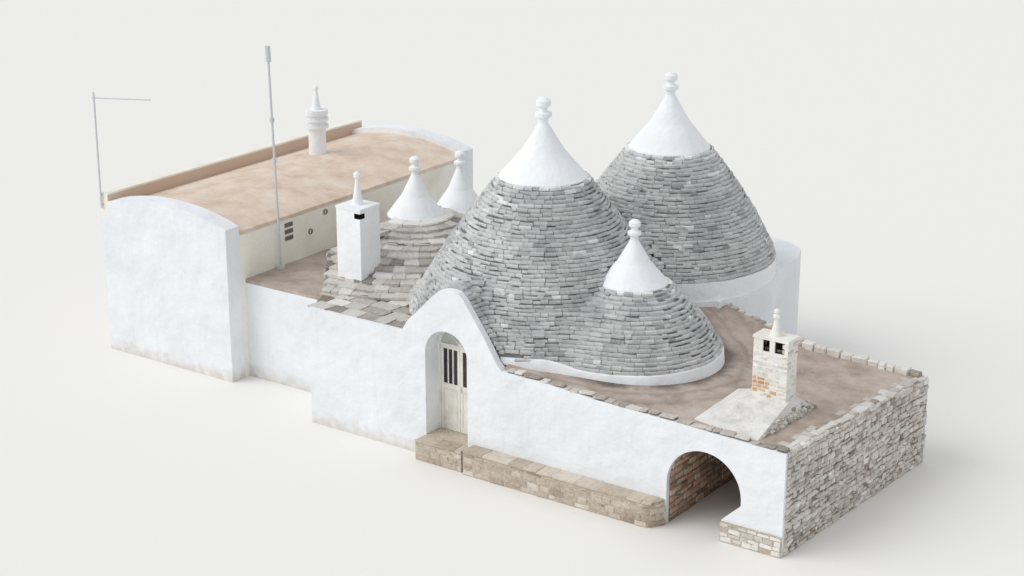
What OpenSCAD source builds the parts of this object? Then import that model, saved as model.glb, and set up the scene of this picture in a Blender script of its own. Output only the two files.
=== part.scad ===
// Dry-stone trullo house: three fused corbelled cones and two small ones over thick limestone
// masonry, a limewashed front wall with a peaked gable, a lower block with a vaulted tunnel,
// and a flat-roofed link to a low barrel-vaulted annex. Millimetres, +Z up, +X along the front
// wall to the right, +Y into the house. Origin under the centre of the main room.

/* [Levels] */
// Floor level of the rooms above the lowest ground
floor_z = 530; // [400:10:700]
// Top of the masonry under the flat roofs
wall_z = 1990; // [1960:10:2060]
// Height of the flat roof at the front right corner
deck_z = 2330; // [2300:10:2450]
// Rise of the flat roof towards the left, in per cent
deck_rise = 3.5; // [2:0.5:5]
// Fall of the flat roof towards the back, in per cent
deck_fall = 3.6; // [2:0.2:4]
// Level of the slab roof on the left, at its edges
left_deck_z = 2940; // [2850:10:3050]
// Top of the terrace under the rear cone
back_deck_z = 3000; // [2950:10:3150]
// Thickness of the level roof coverings
roof_t = 100; // [80:5:150]

/* [Main cone] */
// Outer radius of the main cone at its springing
main_r = 3270; // [3200:10:3290]
// Height of the springing of the main cone
main_z = 2780; // [2700:10:2820]
// Radius where the white cap starts
main_cap_r = 1020; // [850:10:1200]
// Height where the white cap starts
main_cap_z = 6180; // [5800:10:6600]
// Height of the neck of the main cap
main_neck_z = 7470; // [7200:10:7800]
// How far the side of the main cone swells out at mid height
main_swell = 130; // [0:10:200]
// Height of one course of slabs on the cones
course_h = 85; // [80:1:240]

/* [Side cone] */
// Centre of the small front cone, sideways
side_x = 2730; // [2600:10:2900]
// Centre of the small front cone, inwards
side_y = -290; // [-400:10:-200]
// Outer radius of the small front cone at its springing
side_r = 2050; // [1950:10:2100]
// Height of the springing of the small front cone
side_z = 2610; // [2560:10:2700]
// Radius where its white cap starts
side_cap_r = 770; // [650:10:850]
// Height where its white cap starts
side_cap_z = 4140; // [4000:10:4400]
// Height of the neck of its cap
side_neck_z = 5170; // [5000:10:5400]
// How far its side swells out at mid height
side_swell = 110; // [0:10:150]

/* [Rear cone] */
// Centre of the rear cone, sideways
back_x = 960; // [850:10:1050]
// Centre of the rear cone, inwards
back_y = 4190; // [4100:10:4300]
// Outer radius of the rear cone at its springing
back_r = 2720; // [2650:10:2740]
// Height of the springing of the rear cone
back_z = 3460; // [3350:10:3550]
// Radius where its white cap starts
back_cap_r = 990; // [850:10:1100]
// Height where its white cap starts
back_cap_z = 6180; // [5900:10:6500]
// Height of the neck of its cap
back_neck_z = 7520; // [7300:10:7800]
// How far its side swells out at mid height
back_swell = 140; // [0:10:200]

/* [Twin cones] */
// Centres of the two small cones on the left, sideways
twin_x = -4850; // [-4950:10:-4750]
// Centre of the front one of the twins, inwards
twin_y = 1260; // [1150:10:1350]
// Distance from the front twin to the rear twin
twin_pitch = 1920; // [1850:10:2050]
// Radius where the white caps of the twins start
twin_cap_r = 700; // [620:10:760]
// Height where the cap of the front twin starts
twin_cap_z = 4150; // [4050:10:4300]
// Height of a twin cap up to its neck
twin_cap_h = 1080; // [900:10:1200]
// How much smaller and lower the rear twin is
twin_step = 250; // [150:10:300]
// Fall of the slab roof round the twins, in per cent
twin_fall = 43; // [38:1:48]
// Height of one course of the broad slabs round the twins
broad_h = 100; // [90:5:200]

/* [Walls] */
// Distance from the centre of the main room to the outer face of the front wall
front_dist = 3390; // [3385:5:3500]
// Position of the front left corner
left_x = -4500; // [-4700:50:-4400]
// Position of the front right corner
right_x = 8350; // [8200:50:8600]
// Depth of the lower block
block_depth = 6390; // [6200:10:6600]
// How far the end wall leans out of square at the back
end_flare = 340; // [200:20:400]
// Thickness of the front upstands
upstand_t = 120; // [100:5:160]
// Top of the right upstand where it meets the gable
high_top = 2570; // [2560:10:2650]
// Top of the left upstand
left_top = 2965; // [2950:5:3100]
// Thickness of the gable
gable_t = 180; // [150:10:250]
// Peak of the gable
gable_top = 4215; // [4100:5:4300]
// Left foot of the gable from the centre of the entrance
gable_left = 1300; // [1250:10:1380]
// Right foot of the gable from the centre of the entrance
gable_right = 1570; // [1540:10:1620]

/* [Rooms] */
// Radius of the main room
room_r = 2450; // [2350:10:2500]
// Radius of the small front room
side_room_r = 1350; // [1250:10:1400]
// Radius of the rear room
back_room_r = 1800; // [1700:10:1850]
// Radius of the small rooms on the left
twin_room_r = 900; // [850:10:940]
// Width of the alcove behind the rear room
alcove_w = 2200; // [2000:50:2300]
// Depth of the alcove behind the rear room
alcove_d = 1600; // [1400:50:1700]
// Clear width of the arched ways between rooms
way_w = 900; // [850:10:950]
// Height of those ways above the floor
way_h = 2000; // [1950:10:2050]

/* [Entrance] */
// Centre of the entrance niche
door_x = -350; // [-420:10:-300]
// Width of the niche
niche_w = 1210; // [1150:10:1240]
// Top of the arch of the niche
niche_top = 3190; // [3150:10:3210]
// Depth from the wall face to the door frame
reveal = 520; // [450:10:560]
// Section of the door frame
frame_t = 45; // [40:1:55]
// Height of the head of the frame above the springing of the arch
head_up = 95; // [85:1:105]
// Thickness of a door leaf
leaf_t = 45; // [38:1:52]
// Width of the stiles and top rail of a leaf
stile_w = 60; // [50:5:75]
// Height of the solid lower part of a leaf
lock_h = 1145; // [1050:5:1200]
// Gap round the moving leaves
leaf_gap = 8; // [7:1:10]
// Gap where the two leaves meet
meet_gap = 10; // [9:1:12]
// Distance of the hinge pins behind the leaves
pin_back = 15; // [14:1:18]

/* [Tunnel] */
// Centre of the vaulted tunnel
tunnel_x = 6460; // [6400:10:6520]
// Width of the tunnel
tunnel_w = 1800; // [1740:20:1860]
// Height of its crown
tunnel_top = 1910; // [1850:10:1920]
// Depth of the tunnel
tunnel_l = 4200; // [3500:50:4700]

/* [Ledges] */
// Depth of the ledge along the foot of the front
ledge_d = 400; // [350:10:450]
// Top of that ledge
ledge_z = 590; // [500:10:650]
// Top of the doorstep
step_z = 500; // [450:10:520]

/* [Chimneys] */
// Side of the square white chimney on the left
stack_w = 750; // [700:10:800]
// Top of its slab
stack_top = 5070; // [4900:10:5200]
// Width of the rubble chimney on the lower block
hearth_w = 820; // [780:10:900]
// Depth of the rubble chimney
hearth_d = 450; // [430:10:520]
// Top of the slab on the rubble chimney
hearth_top = 4050; // [3900:10:4150]
// Height of the whitewashed mound at its foot
mound_h = 340; // [300:10:400]
// Diameter of the round chimney on the annex
flue_d = 500; // [450:10:540]
// Height of the round chimney above the annex roof
flue_h = 1300; // [1200:10:1400]

/* [Annex] */
// Left face of the annex
annex_x = -12450; // [-12500:50:-12300]
// Width of the annex
annex_w = 4500; // [4350:50:4550]
// Front face of the annex
annex_y = -2550; // [-2700:50:-2400]
// Length of the annex
annex_l = 10500; // [10000:50:10800]
// Eave height of the annex
annex_z = 3950; // [3900:10:4050]
// Rise of its vaulted roof
annex_rise = 350; // [300:10:400]
// Height of its end upstands above the roof
annex_up = 150; // [100:10:200]
// Thickness of the walls of the annex and the link
annex_t = 500; // [450:10:550]
// Thickness of the vault at the crown
vault_t = 520; // [480:10:560]
// Top of the flat roof of the link
link_z = 2650; // [2600:10:2700]
// Front face of the link
link_y = -1900; // [-2000:50:-1800]
// Length of the link
link_l = 6400; // [6200:50:6500]

/* [Aerials] */
// Diameter of the mast on the link
mast_d = 60; // [50:5:70]
// Height of the mast above the link roof
mast_h = 5850; // [5600:50:6000]
// Height of the pole on the annex corner above the upstand
pole_h = 2700; // [2500:50:2800]
// Length of its arm
arm_l = 1600; // [1500:50:1700]

/* [Hidden] */
$fn = 240;
eps = 1;
far = 20000;
white = "#eef0f0";
stone = "#9c978f";
pale = "#cbbfa8";
roofc = "#a2948a";
front_y = -front_dist;
block_y = front_y + block_depth;
split_x = 4700;
west_x = -3100;
niche_l = door_x - niche_w / 2;
niche_r = door_x + niche_w / 2;
niche_spring = niche_top - niche_w / 2;
gable_l = door_x - gable_left;
gable_r = door_x + gable_right;
main_foot_r = main_r + 20;
main_n = round((main_cap_z - main_z) / course_h);
side_n = round((side_cap_z - side_z) / course_h);
back_n = round((back_cap_z - back_z) / course_h);
main_k = round(0.4 * main_n);
side_foot_r = side_r + 60;
back_foot_r = back_r + 50;
drum_r = back_foot_r + 30;
twin2_y = twin_y + twin_pitch;
twin2_cap_r = twin_cap_r - 70;
twin2_cap_z = twin_cap_z - twin_step;
twin2_room_r = twin_room_r - 60;
// plane in which the slab roofs of the twins meet
twin_rise = twin_fall / 100;
twin_apex = twin_cap_z + twin_cap_r * twin_rise;
twin_drop = twin_apex - twin2_cap_z - twin2_cap_r * twin_rise;
valley_d = (twin_pitch + twin_drop / twin_rise) / 2;
valley_z = twin_apex - twin_rise * valley_d;
valley_lean = atan(twin_drop / (twin_rise * twin_rise * twin_pitch));
left_wall_z = left_deck_z - roof_t;
way_top = floor_z + way_h;
way_spring = way_top - way_w / 2;
tunnel_spring = tunnel_top - tunnel_w / 2;
stack_x = twin_x + 280;
stack_y = twin_y - 2630;
hearth_x = tunnel_x + 530;
hearth_y = front_y + 1995;
annex_r = annex_x + annex_w;
annex_back_y = annex_y + annex_l;
annex_wall_z = annex_z - 800;
annex_mid = annex_x + annex_w / 2;
link_w = 3700;
alcove_top = back_deck_z - 300;
parapet_top = annex_z + 450;
flue_x = annex_x + 1600;
flue_y = annex_y + 6900;
kerb_w = 450;
kerb_d = 300;
kerb_z = 460;
kerb_top = 900;
// door leaf
door_y = front_y + reveal;
leaf_h = niche_spring + head_up - floor_z - frame_t - 2 * leaf_gap;
leaf_w = niche_w / 2 - frame_t - leaf_gap - meet_gap / 2;
leaf_z = floor_z + leaf_gap;
frame_d = 10 + leaf_t;
pin_x = niche_w / 2 - frame_t - leaf_gap / 2;
light_z = leaf_z + lock_h;
light_w = leaf_w - 2 * stile_w;
light_h = leaf_h - lock_h - stile_w;
knuckle = 29;

// outer plan, west and north edges
west_edge = [[twin_x - 50, front_y + 1000], [twin_x - 1600, front_y + 3100],
    [twin_x - 1900, front_y + 5000], [twin_x - 1900, twin2_y + 1720], [-1940, twin2_y + 1720]];
north_edge = [[-1940, 8250], [1900, 8250], [2500, 8080], [3030, 7650], [3300, 6900], [3400, 5500]];

// everything below a sloping plane through a point, with its rise per unit along X and Y
module below(at, gx, gy) {
    translate(at) rotate([atan(gy * cos(atan(gx))), -atan(gx), 0])
        translate([-far, -far, -far]) cube([2 * far, 2 * far, far]);
}

// plan of the outer walls of the trullo
module house_plan() {
    polygon(concat([[left_x, front_y], [right_x, front_y], [right_x + end_flare, block_y],
        [3400, block_y]], [for (i = [5:-1:0]) north_edge[i]],
        [for (i = [4:-1:0]) west_edge[i]]));
    translate([back_x, back_y]) circle(r = drum_r);
}

// plan of the rear terrace and its drum
module back_plan() {
    polygon(concat([[-1940, 2600], [3400, 2600]], [for (i = [5:-1:0]) north_edge[i]]));
    translate([back_x, back_y]) circle(r = drum_r);
}

// plan of the slab roof round the twin cones, between the front upstand and the rear terrace
module left_plan() {
    difference() {
        polygon(concat([[left_x, front_y + upstand_t], [gable_l, front_y + upstand_t],
            [gable_l, 2600], [-1940, 2600]], [for (i = [4:-1:0]) west_edge[i]]));
        back_plan();
    }
}

// plan of the hollow rooms
module rooms_plan() {
    circle(r = room_r);
    translate([side_x, side_y]) circle(r = side_room_r);
    translate([twin_x, twin_y]) circle(r = twin_room_r);
    translate([twin_x, twin2_y]) circle(r = twin2_room_r);
    back_room_plan();
}
module back_room_plan() {
    translate([back_x, back_y]) circle(r = back_room_r);
    translate([back_x - alcove_w / 2, back_y]) square([alcove_w, back_room_r + alcove_d]);
}

// arched way of a given length along +X from the origin
module way(l) {
    translate([0, -way_w / 2, floor_z]) cube([l, way_w, way_spring - floor_z]);
    translate([0, 0, way_spring]) rotate([0, 90, 0]) cylinder(d = way_w, h = l);
}

// arched ways between the rooms and out to the link
module ways() {
    rotate([0, 0, atan2(back_y, back_x)]) translate([room_r - 550, 0, 0]) way(1200);
    rotate([0, 0, atan2(twin_y, twin_x)]) translate([room_r - 550, 0, 0]) way(2500);
    translate([twin_x, twin_y, 0]) rotate([0, 0, 90]) translate([500, 0, 0]) way(900);
    translate([annex_r + 950, twin2_y, 0]) way(1600);
}

// entrance niche right through the wall
module niche() {
    depth = front_dist - room_r + 550;
    translate([niche_l, front_y - 50, floor_z]) cube([niche_w, depth, niche_spring - floor_z]);
    translate([door_x, front_y - 50, niche_spring]) rotate([-90, 0, 0])
        cylinder(d = niche_w, h = depth);
}

// vaulted tunnel
module tunnel() {
    translate([tunnel_x - tunnel_w / 2, front_y - 50, -50])
        cube([tunnel_w, tunnel_l + 50, tunnel_spring + 50]);
    translate([tunnel_x, front_y - 50, tunnel_spring]) rotate([-90, 0, 0])
        cylinder(d = tunnel_w, h = tunnel_l + 50);
}

// radius of a cone at a part of its height, swelling out at mid height
function cone_r(r, cap_r, swell, t) = r + (cap_r - r) * t + 4 * swell * t * (1 - t);

// body of a cone from its springing to its cap, stepped in n courses of slabs
module cone_solid(r, z, cap_r, cap_z, swell, n) {
    courses(r, z, cap_r, cap_z, swell, n, 0, n);
}
module courses(r, z, cap_r, cap_z, swell, n, from, to) {
    rotate_extrude() polygon(concat([[0, z + (cap_z - z) * from / n]],
        [for (k = [from:to - 1], e = [0, 1])
            [cone_r(r, cap_r, swell, k / n), z + (cap_z - z) * (k + e) / n]],
        [[0, z + (cap_z - z) * to / n]]));
}

// hollow under a cone
module cone_void(r, z, cap_r, cap_z, neck_z) {
    tip = cap_z + 0.4 * (neck_z - cap_z);
    rotate_extrude() polygon([[0, wall_z - 50], [r, wall_z - 50], [r, z], [cap_r - 340, cap_z],
        [90, tip], [0, tip]]);
}

// everything in front of the back of the gable
module gable_cut() { translate([-far, front_y + gable_t - far, 0]) cube([2 * far, far, far]); }

module main_body() {
    difference() {
        cone_solid(main_r, main_z, main_cap_r, main_cap_z, main_swell, main_n);
        gable_cut();
    }
}
module main_ring() {
    difference() {
        translate([0, 0, wall_z]) cylinder(r = main_foot_r, h = main_z - wall_z);
        gable_cut();
    }
}
module main_solid() {
    main_body();
    main_ring();
}
module side_body() {
    translate([side_x, side_y, 0])
        cone_solid(side_r, side_z, side_cap_r, side_cap_z, side_swell, side_n);
}
module side_ring() {
    translate([side_x, side_y, wall_z]) cylinder(r = side_foot_r, h = side_z - wall_z);
}
module back_body() {
    translate([back_x, back_y, 0])
        cone_solid(back_r, back_z, back_cap_r, back_cap_z, back_swell, back_n);
}
module main_void() { cone_void(room_r, main_z, main_cap_r, main_cap_z, main_neck_z); }
module side_void() {
    translate([side_x, side_y, 0])
        cone_void(side_room_r, side_z - 250, side_cap_r, side_cap_z, side_neck_z);
}
module back_void() {
    translate([back_x, back_y, 0])
        cone_void(back_room_r, back_z - 300, back_cap_r, back_cap_z, back_neck_z);
}
module twin_void() {
    translate([twin_x, twin_y, 0])
        cone_void(twin_room_r, left_deck_z, twin_cap_r, twin_cap_z, twin_cap_z + twin_cap_h);
    translate([twin_x, twin2_y, 0])
        cone_void(twin2_room_r, left_deck_z, twin2_cap_r, twin2_cap_z,
            twin2_cap_z + twin_cap_h);
}

// broad low cone of slabs round a twin
module twin_body(cap_r, cap_z) {
    foot_r = cap_r + (cap_z - left_deck_z) / twin_rise;
    n = round((cap_z - left_deck_z) / broad_h);
    courses(foot_r, left_deck_z, cap_r, cap_z, 0, n, 0, n);
}
// everything behind the valley between the twins
module valley_cut() {
    translate([0, twin_y + valley_d, valley_z]) rotate([valley_lean, 0, 0])
        translate([-far, 0, -far]) cube([2 * far, far, 2 * far]);
}
// room for the slab roof on the left: its plan, falling to the west and north edges
module left_room() {
    intersection() {
        translate([0, 0, left_deck_z]) linear_extrude(far / 10) left_plan();
        below([twin_x - 1900, 0, left_deck_z + 60], 0.55, 0);
        below([0, twin2_y + 1720, left_deck_z + 60], 0, -0.55);
    }
}
// footing of the square chimney in the slab roof
module stack_foot() {
    translate([stack_x - stack_w / 2, stack_y - stack_w / 2, left_deck_z])
        cube([stack_w, stack_w, 900]);
}

// footing of the rubble chimney in the roof of the lower block
module hearth_foot() {
    translate([hearth_x - hearth_w / 2, hearth_y - hearth_d / 2, wall_z])
        cube([hearth_w, hearth_d, 900]);
}

// white cap with its pinnacle, neck, disc and ball
module cap(cap_r, h, s) {
    rotate_extrude() polygon([[0, 0.4 * h], [90, 0.4 * h], [cap_r - 340, 0], [cap_r + 30, 0],
        [cap_r + 30, 30], [0.5 * cap_r, 0.5 * h], [110 * s, h], [110 * s, h + 90 * s],
        [190 * s, h + 150 * s], [190 * s, h + 230 * s], [90 * s, h + 270 * s],
        [90 * s, h + 330 * s], [165 * s, h + 400 * s], [165 * s, h + 500 * s],
        [90 * s, h + 570 * s], [0, h + 590 * s]]);
}

// part of the walls between two sideways and two inward limits
module wall_part(x0, x1, y0, y1) {
    linear_extrude(wall_z) intersection() {
        difference() {
            house_plan();
            rooms_plan();
        }
        translate([x0, y0]) square([x1 - x0, y1 - y0]);
    }
}

module floor_rooms() {
    color(pale) linear_extrude(floor_z) {
        intersection() {
            rooms_plan();
            house_plan();
        }
        difference() {
            translate([niche_l, front_y]) square([niche_w, 1200]);
            circle(r = room_r);
        }
    }
}
module wall_front_left() {
    color(white) difference() {
        wall_part(west_x, niche_l, front_y, 0);
        ways();
    }
}
module wall_front_right() {
    color(white) wall_part(niche_r, split_x, front_y, 0);
}
module wall_left() {
    color(white) difference() {
        wall_part(-far, west_x, front_y, far);
        ways();
    }
}
module wall_back() {
    color(white) difference() {
        wall_part(west_x, split_x, 0, far);
        ways();
    }
}
module tunnel_block() {
    color(pale) difference() {
        wall_part(split_x, far, front_y + upstand_t, far);
        tunnel();
    }
}

// white face of the lower block and the upstand to its left, up to the gable
module facade_right() {
    color(white) difference() {
        translate([0, front_y + upstand_t, 0]) rotate([90, 0, 0]) linear_extrude(upstand_t)
            polygon([[gable_r, wall_z], [split_x, wall_z], [split_x, 0], [right_x, 0],
                [right_x, deck_z], [tunnel_x - 900, deck_z + 90], [side_x + 1100, deck_z + 130],
                [side_x - 530, high_top - 10], [gable_r, high_top]]);
        tunnel();
    }
    color(white) translate([tunnel_x + tunnel_w / 2, front_y + kerb_d, 0]) rotate([90, 0, 0])
        linear_extrude(kerb_d)
            polygon([[-kerb_w, kerb_z], [0, kerb_z], [0, kerb_top], [-kerb_w, kerb_z + 20]]);
}
module parapet_left() {
    color(white) translate([left_x, front_y, wall_z])
        cube([gable_l - left_x, upstand_t, left_top - wall_z]);
}

// gable outline in elevation, lowered by an inset
module gable_face(inset) {
    translate([door_x, -inset]) polygon([[-gable_left, wall_z + inset], [-gable_left, left_top],
        [-1090, 3270], [-760, 3590], [-350, gable_top - 215], [-150, gable_top - 60],
        [30, gable_top - 10], [210, gable_top], [370, gable_top - 35], [520, gable_top - 175],
        [680, gable_top - 405], [1060, 3290], [1250, 3000], [1410, 2740],
        [gable_right, high_top], [gable_right, wall_z + inset]]);
}
module gable() {
    color(white) difference() {
        translate([0, front_y + gable_t, 0]) rotate([90, 0, 0]) linear_extrude(gable_t)
            gable_face(0);
        niche();
    }
}
module dormer() {
    color(stone) difference() {
        translate([0, front_y + 1900, 0]) rotate([90, 0, 0]) linear_extrude(1900 - gable_t)
            gable_face(50);
        niche();
        main_solid();
        main_void();
        side_ring();
        side_body();
    }
}

// roof of the lower block and the saddle between the side and rear cones
module roof_right() {
    color(roofc) difference() {
        intersection() {
            translate([0, 0, wall_z]) linear_extrude(945) difference() {
                house_plan();
                back_plan();
                translate([-far, -far]) square([far + gable_r, 2 * far]);
                translate([0, -far]) square([far, far + front_y + upstand_t]);
            }
            union() {
                below([right_x, front_y, deck_z], -deck_rise / 100, -deck_fall / 100);
                below([5500, block_y, deck_z - 30], -0.27, 0.13);
            }
        }
        main_solid();
        side_ring();
        side_body();
        hearth_foot();
    }
}
module roof_left() {
    color(stone) difference() {
        translate([0, 0, left_wall_z]) linear_extrude(roof_t) left_plan();
        main_solid();
        twin_void();
    }
}
module terrace_left() {
    color(white) difference() {
        translate([0, 0, wall_z]) linear_extrude(left_wall_z - wall_z) left_plan();
        main_solid();
        twin_void();
        ways();
    }
}
module terrace_back() {
    color(white) difference() {
        translate([0, 0, wall_z]) linear_extrude(back_deck_z - wall_z) back_plan();
        back_void();
        translate([back_x - alcove_w / 2, back_y, wall_z - 50])
            cube([alcove_w, back_room_r + alcove_d, alcove_top - wall_z + 50]);
        main_solid();
        side_ring();
        side_body();
        ways();
    }
}
module ring_main() {
    color(white) difference() {
        main_ring();
        main_void();
        side_void();
        niche();
        ways();
    }
}
module ring_side() {
    color(white) difference() {
        side_ring();
        side_void();
        main_solid();
    }
}
module ring_back() {
    color(white) difference() {
        translate([back_x, back_y, back_deck_z])
            cylinder(r = back_foot_r, h = back_z - back_deck_z);
        back_void();
        main_solid();
        side_body();
    }
}

// corbelled shell of the main cone between two of its courses
module main_shell(from, to) {
    color(stone) difference() {
        courses(main_r, main_z, main_cap_r, main_cap_z, main_swell, main_n, from, to);
        gable_cut();
        main_void();
        side_void();
        niche();
    }
}
module cone_main_foot() { main_shell(0, main_k); }
module cone_main() { main_shell(main_k, main_n); }
module cone_side() {
    color(stone) difference() {
        side_body();
        side_void();
        main_solid();
    }
}
module cone_back() {
    color(stone) difference() {
        back_body();
        back_void();
        main_solid();
    }
}
module cone_twin_front() {
    color(stone) difference() {
        intersection() {
            translate([twin_x, twin_y, 0]) twin_body(twin_cap_r, twin_cap_z);
            left_room();
        }
        valley_cut();
        translate([twin_x, twin2_y, twin2_cap_z]) cylinder(r = twin2_cap_r + 35, h = twin_cap_h);
        twin_void();
        main_solid();
        stack_foot();
    }
}
module cone_twin_rear() {
    color(stone) difference() {
        intersection() {
            translate([twin_x, twin2_y, 0]) twin_body(twin2_cap_r, twin2_cap_z);
            left_room();
            valley_cut();
        }
        twin_void();
        main_solid();
    }
}

module cap_main() {
    color(white) translate([0, 0, main_cap_z]) cap(main_cap_r, main_neck_z - main_cap_z, 1.05);
}
module cap_side() {
    color(white) difference() {
        translate([side_x, side_y, side_cap_z])
            cap(side_cap_r, side_neck_z - side_cap_z, 0.82);
        main_solid();
    }
}
module cap_back() {
    color(white) translate([back_x, back_y, back_cap_z])
        cap(back_cap_r, back_neck_z - back_cap_z, 0.97);
}
module caps_twin() {
    color(white) {
        translate([twin_x, twin_y, twin_cap_z]) cap(twin_cap_r, twin_cap_h, 0.8);
        translate([twin_x, twin2_y, twin2_cap_z]) cap(twin2_cap_r, twin_cap_h, 0.8);
    }
}

// one half of the door frame, with the fixed knuckles and pins of its hinges
module frame_half() {
    translate([niche_w / 2 - frame_t, 0, floor_z]) cube([frame_t, frame_d, niche_spring - floor_z]);
    translate([0, 0, niche_spring + head_up - frame_t]) cube([niche_w / 2 - 30, frame_d, frame_t]);
    translate([0, frame_d, niche_spring]) rotate([90, 0, 0]) linear_extrude(frame_d)
        intersection() {
            difference() {
                circle(d = niche_w);
                circle(d = niche_w - 2 * frame_t);
            }
            square([niche_w, niche_w]);
        }
    for (z = [350, leaf_h - 330]) translate([pin_x, frame_d + pin_back, floor_z + z]) {
        cylinder(r = 5, h = 100);
        for (k = [0, 100 - knuckle]) translate([0, 0, k]) {
            cylinder(r = 9, h = knuckle);
            translate([0, -pin_back, 0]) cube([30, 6, knuckle]);
            translate([0, -pin_back, 0]) cube([6, pin_back, knuckle]);
        }
    }
}
module door_frame() {
    color(pale) translate([door_x, door_y, 0]) {
        frame_half();
        mirror([1, 0, 0]) frame_half();
    }
}
// door leaf with its glazed upper part, sunk panel and moving knuckles
module leaf() {
    difference() {
        translate([meet_gap / 2, 10, leaf_z]) cube([leaf_w, leaf_t, leaf_h]);
        translate([meet_gap / 2 + stile_w, 9, light_z]) cube([light_w, leaf_t + 2, light_h]);
        translate([meet_gap / 2 + stile_w, 9, leaf_z + 110]) cube([light_w, 13, lock_h - 220]);
    }
    for (z = [350, leaf_h - 330]) translate([pin_x, frame_d + pin_back, floor_z + z + 29.3])
        difference() {
            union() {
                cylinder(r = 9, h = 41.4);
                translate([-44, -pin_back, 0]) cube([40, 6, 41.4]);
                translate([-9, -pin_back, 0]) cube([5, pin_back, 41.4]);
            }
            translate([0, 0, -1]) cylinder(r = 5.3, h = 44);
        }
}
module pane() {
    color("#5a6468", 0.5) translate([meet_gap / 2 + stile_w, frame_d - leaf_t / 2 - 3, light_z])
        cube([light_w, 6, light_h]);
}
module leaf_left() { color(pale) translate([door_x, door_y, 0]) mirror([1, 0, 0]) leaf(); }
module leaf_right() { color(pale) translate([door_x, door_y, 0]) leaf(); }
module pane_left() { translate([door_x, door_y, 0]) mirror([1, 0, 0]) pane(); }
module pane_right() { translate([door_x, door_y, 0]) pane(); }
module fanlight() {
    color("#5a6468", 0.5) translate([door_x, door_y + frame_d / 2, niche_spring])
        rotate([90, 0, 0]) linear_extrude(6) intersection() {
            circle(d = niche_w - 2 * frame_t);
            translate([-niche_w / 2, head_up]) square([niche_w, niche_w]);
        }
}

// doorstep, ledge along the foot of the front with a rounded end, and plinth of the pier
module ledges() {
    x0 = niche_r + 150;
    x1 = tunnel_x - tunnel_w / 2 - ledge_d - 40;
    color(pale) {
        translate([niche_l - 60, front_y - ledge_d + 60, 0])
            cube([niche_w + 120, ledge_d - 60, step_z]);
        linear_extrude(ledge_z) {
            translate([x0, front_y - ledge_d]) square([x1 - x0, ledge_d]);
            intersection() {
                translate([x1, front_y]) circle(r = ledge_d);
                translate([x1, front_y - ledge_d]) square(ledge_d);
            }
        }
        translate([tunnel_x + tunnel_w / 2, front_y - 50, 0])
            cube([right_x - tunnel_x - tunnel_w / 2, 50, kerb_z]);
        translate([tunnel_x + tunnel_w / 2 - kerb_w, front_y - 50, 0])
            cube([kerb_w, kerb_d + 50, kerb_z]);
    }
}

module chimney_left() {
    shaft = stack_top - left_deck_z - 60;
    color(white) translate([stack_x, stack_y, left_deck_z]) {
        difference() {
            translate([-stack_w / 2, -stack_w / 2, 0]) cube([stack_w, stack_w, shaft]);
            translate([-stack_w / 2 + 150, -stack_w / 2 + 150, shaft - 900])
                cube([stack_w - 300, stack_w - 300, 900 + eps]);
            translate([stack_w / 2 - 180, -stack_w / 2 - eps, shaft - 190])
                cube([180 + eps, 180 + eps, 130]);
        }
        translate([-stack_w / 2 - 15, -stack_w / 2 - 15, shaft])
            cube([stack_w + 30, stack_w + 30, 60]);
        translate([0, 0, shaft + 60]) rotate_extrude() polygon([[0, 0], [160, 0], [130, 60],
            [50, 560], [50, 640], [85, 690], [85, 770], [40, 820], [0, 830]]);
    }
}
module chimney_right() {
    shaft = hearth_top - wall_z - 60;
    color(pale) translate([hearth_x, hearth_y, wall_z]) {
        difference() {
            translate([-hearth_w / 2, -hearth_d / 2, 0]) cube([hearth_w, hearth_d, shaft]);
            translate([-hearth_w / 2 + 110, -hearth_d / 2 + 110, shaft - 800])
                cube([hearth_w - 220, hearth_d - 220, 800 + eps]);
            for (p = [[-190, 160], [90, 240]]) translate([p[0], -hearth_d, shaft - 270])
                cube([p[1], 2 * hearth_d, 270 + eps]);
        }
        translate([-hearth_w / 2 - 20, -hearth_d / 2 - 20, shaft])
            cube([hearth_w + 40, hearth_d + 40, 60]);
        translate([0, 0, shaft + 60]) rotate_extrude() polygon([[0, 0], [150, 0], [110, 85],
            [48, 330], [48, 375], [82, 405], [82, 445], [45, 475], [68, 515], [68, 560],
            [30, 590], [0, 595]]);
    }
}
// whitewashed pyramid round the foot of the rubble chimney, above the sloping roof
module chimney_mound() {
    x0 = hearth_x - hearth_w / 2;
    x1 = hearth_x + hearth_w / 2;
    top = deck_z + mound_h;
    color(white) difference() {
        intersection() {
            translate([x0 - 1100, hearth_y - 1800, wall_z]) cube([hearth_w + 1300, 2800, 1000]);
            below([x0, 0, top], 0.42, 0);
            below([x1 + 60, 0, top], -3, 0);
            below([0, hearth_y - hearth_d / 2, top], 0, 0.2);
            below([0, hearth_y + hearth_d / 2, top], 0, -0.7);
        }
        below([right_x, front_y, deck_z], -deck_rise / 100, -deck_fall / 100);
        hearth_foot();
    }
}
module chimney_annex() {
    top = annex_z + annex_rise + flue_h - 30;
    ring = flue_d + 170;
    color(white) difference() {
        translate([flue_x, flue_y, 0]) {
            translate([0, 0, annex_z]) cylinder(d = flue_d, h = top - annex_z);
            for (z = [530, 330]) translate([0, 0, top - z]) cylinder(d = ring, h = 90);
            translate([0, 0, top - 150]) cylinder(d = ring - 20, h = 150);
            translate([0, 0, top]) rotate_extrude() polygon([[0, 0], [150, 0], [110, 120],
                [50, 520], [50, 560], [75, 600], [75, 660], [30, 700], [0, 705]]);
        }
        annex_run(annex_y, annex_l) annex_arc(0);
    }
}

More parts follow.
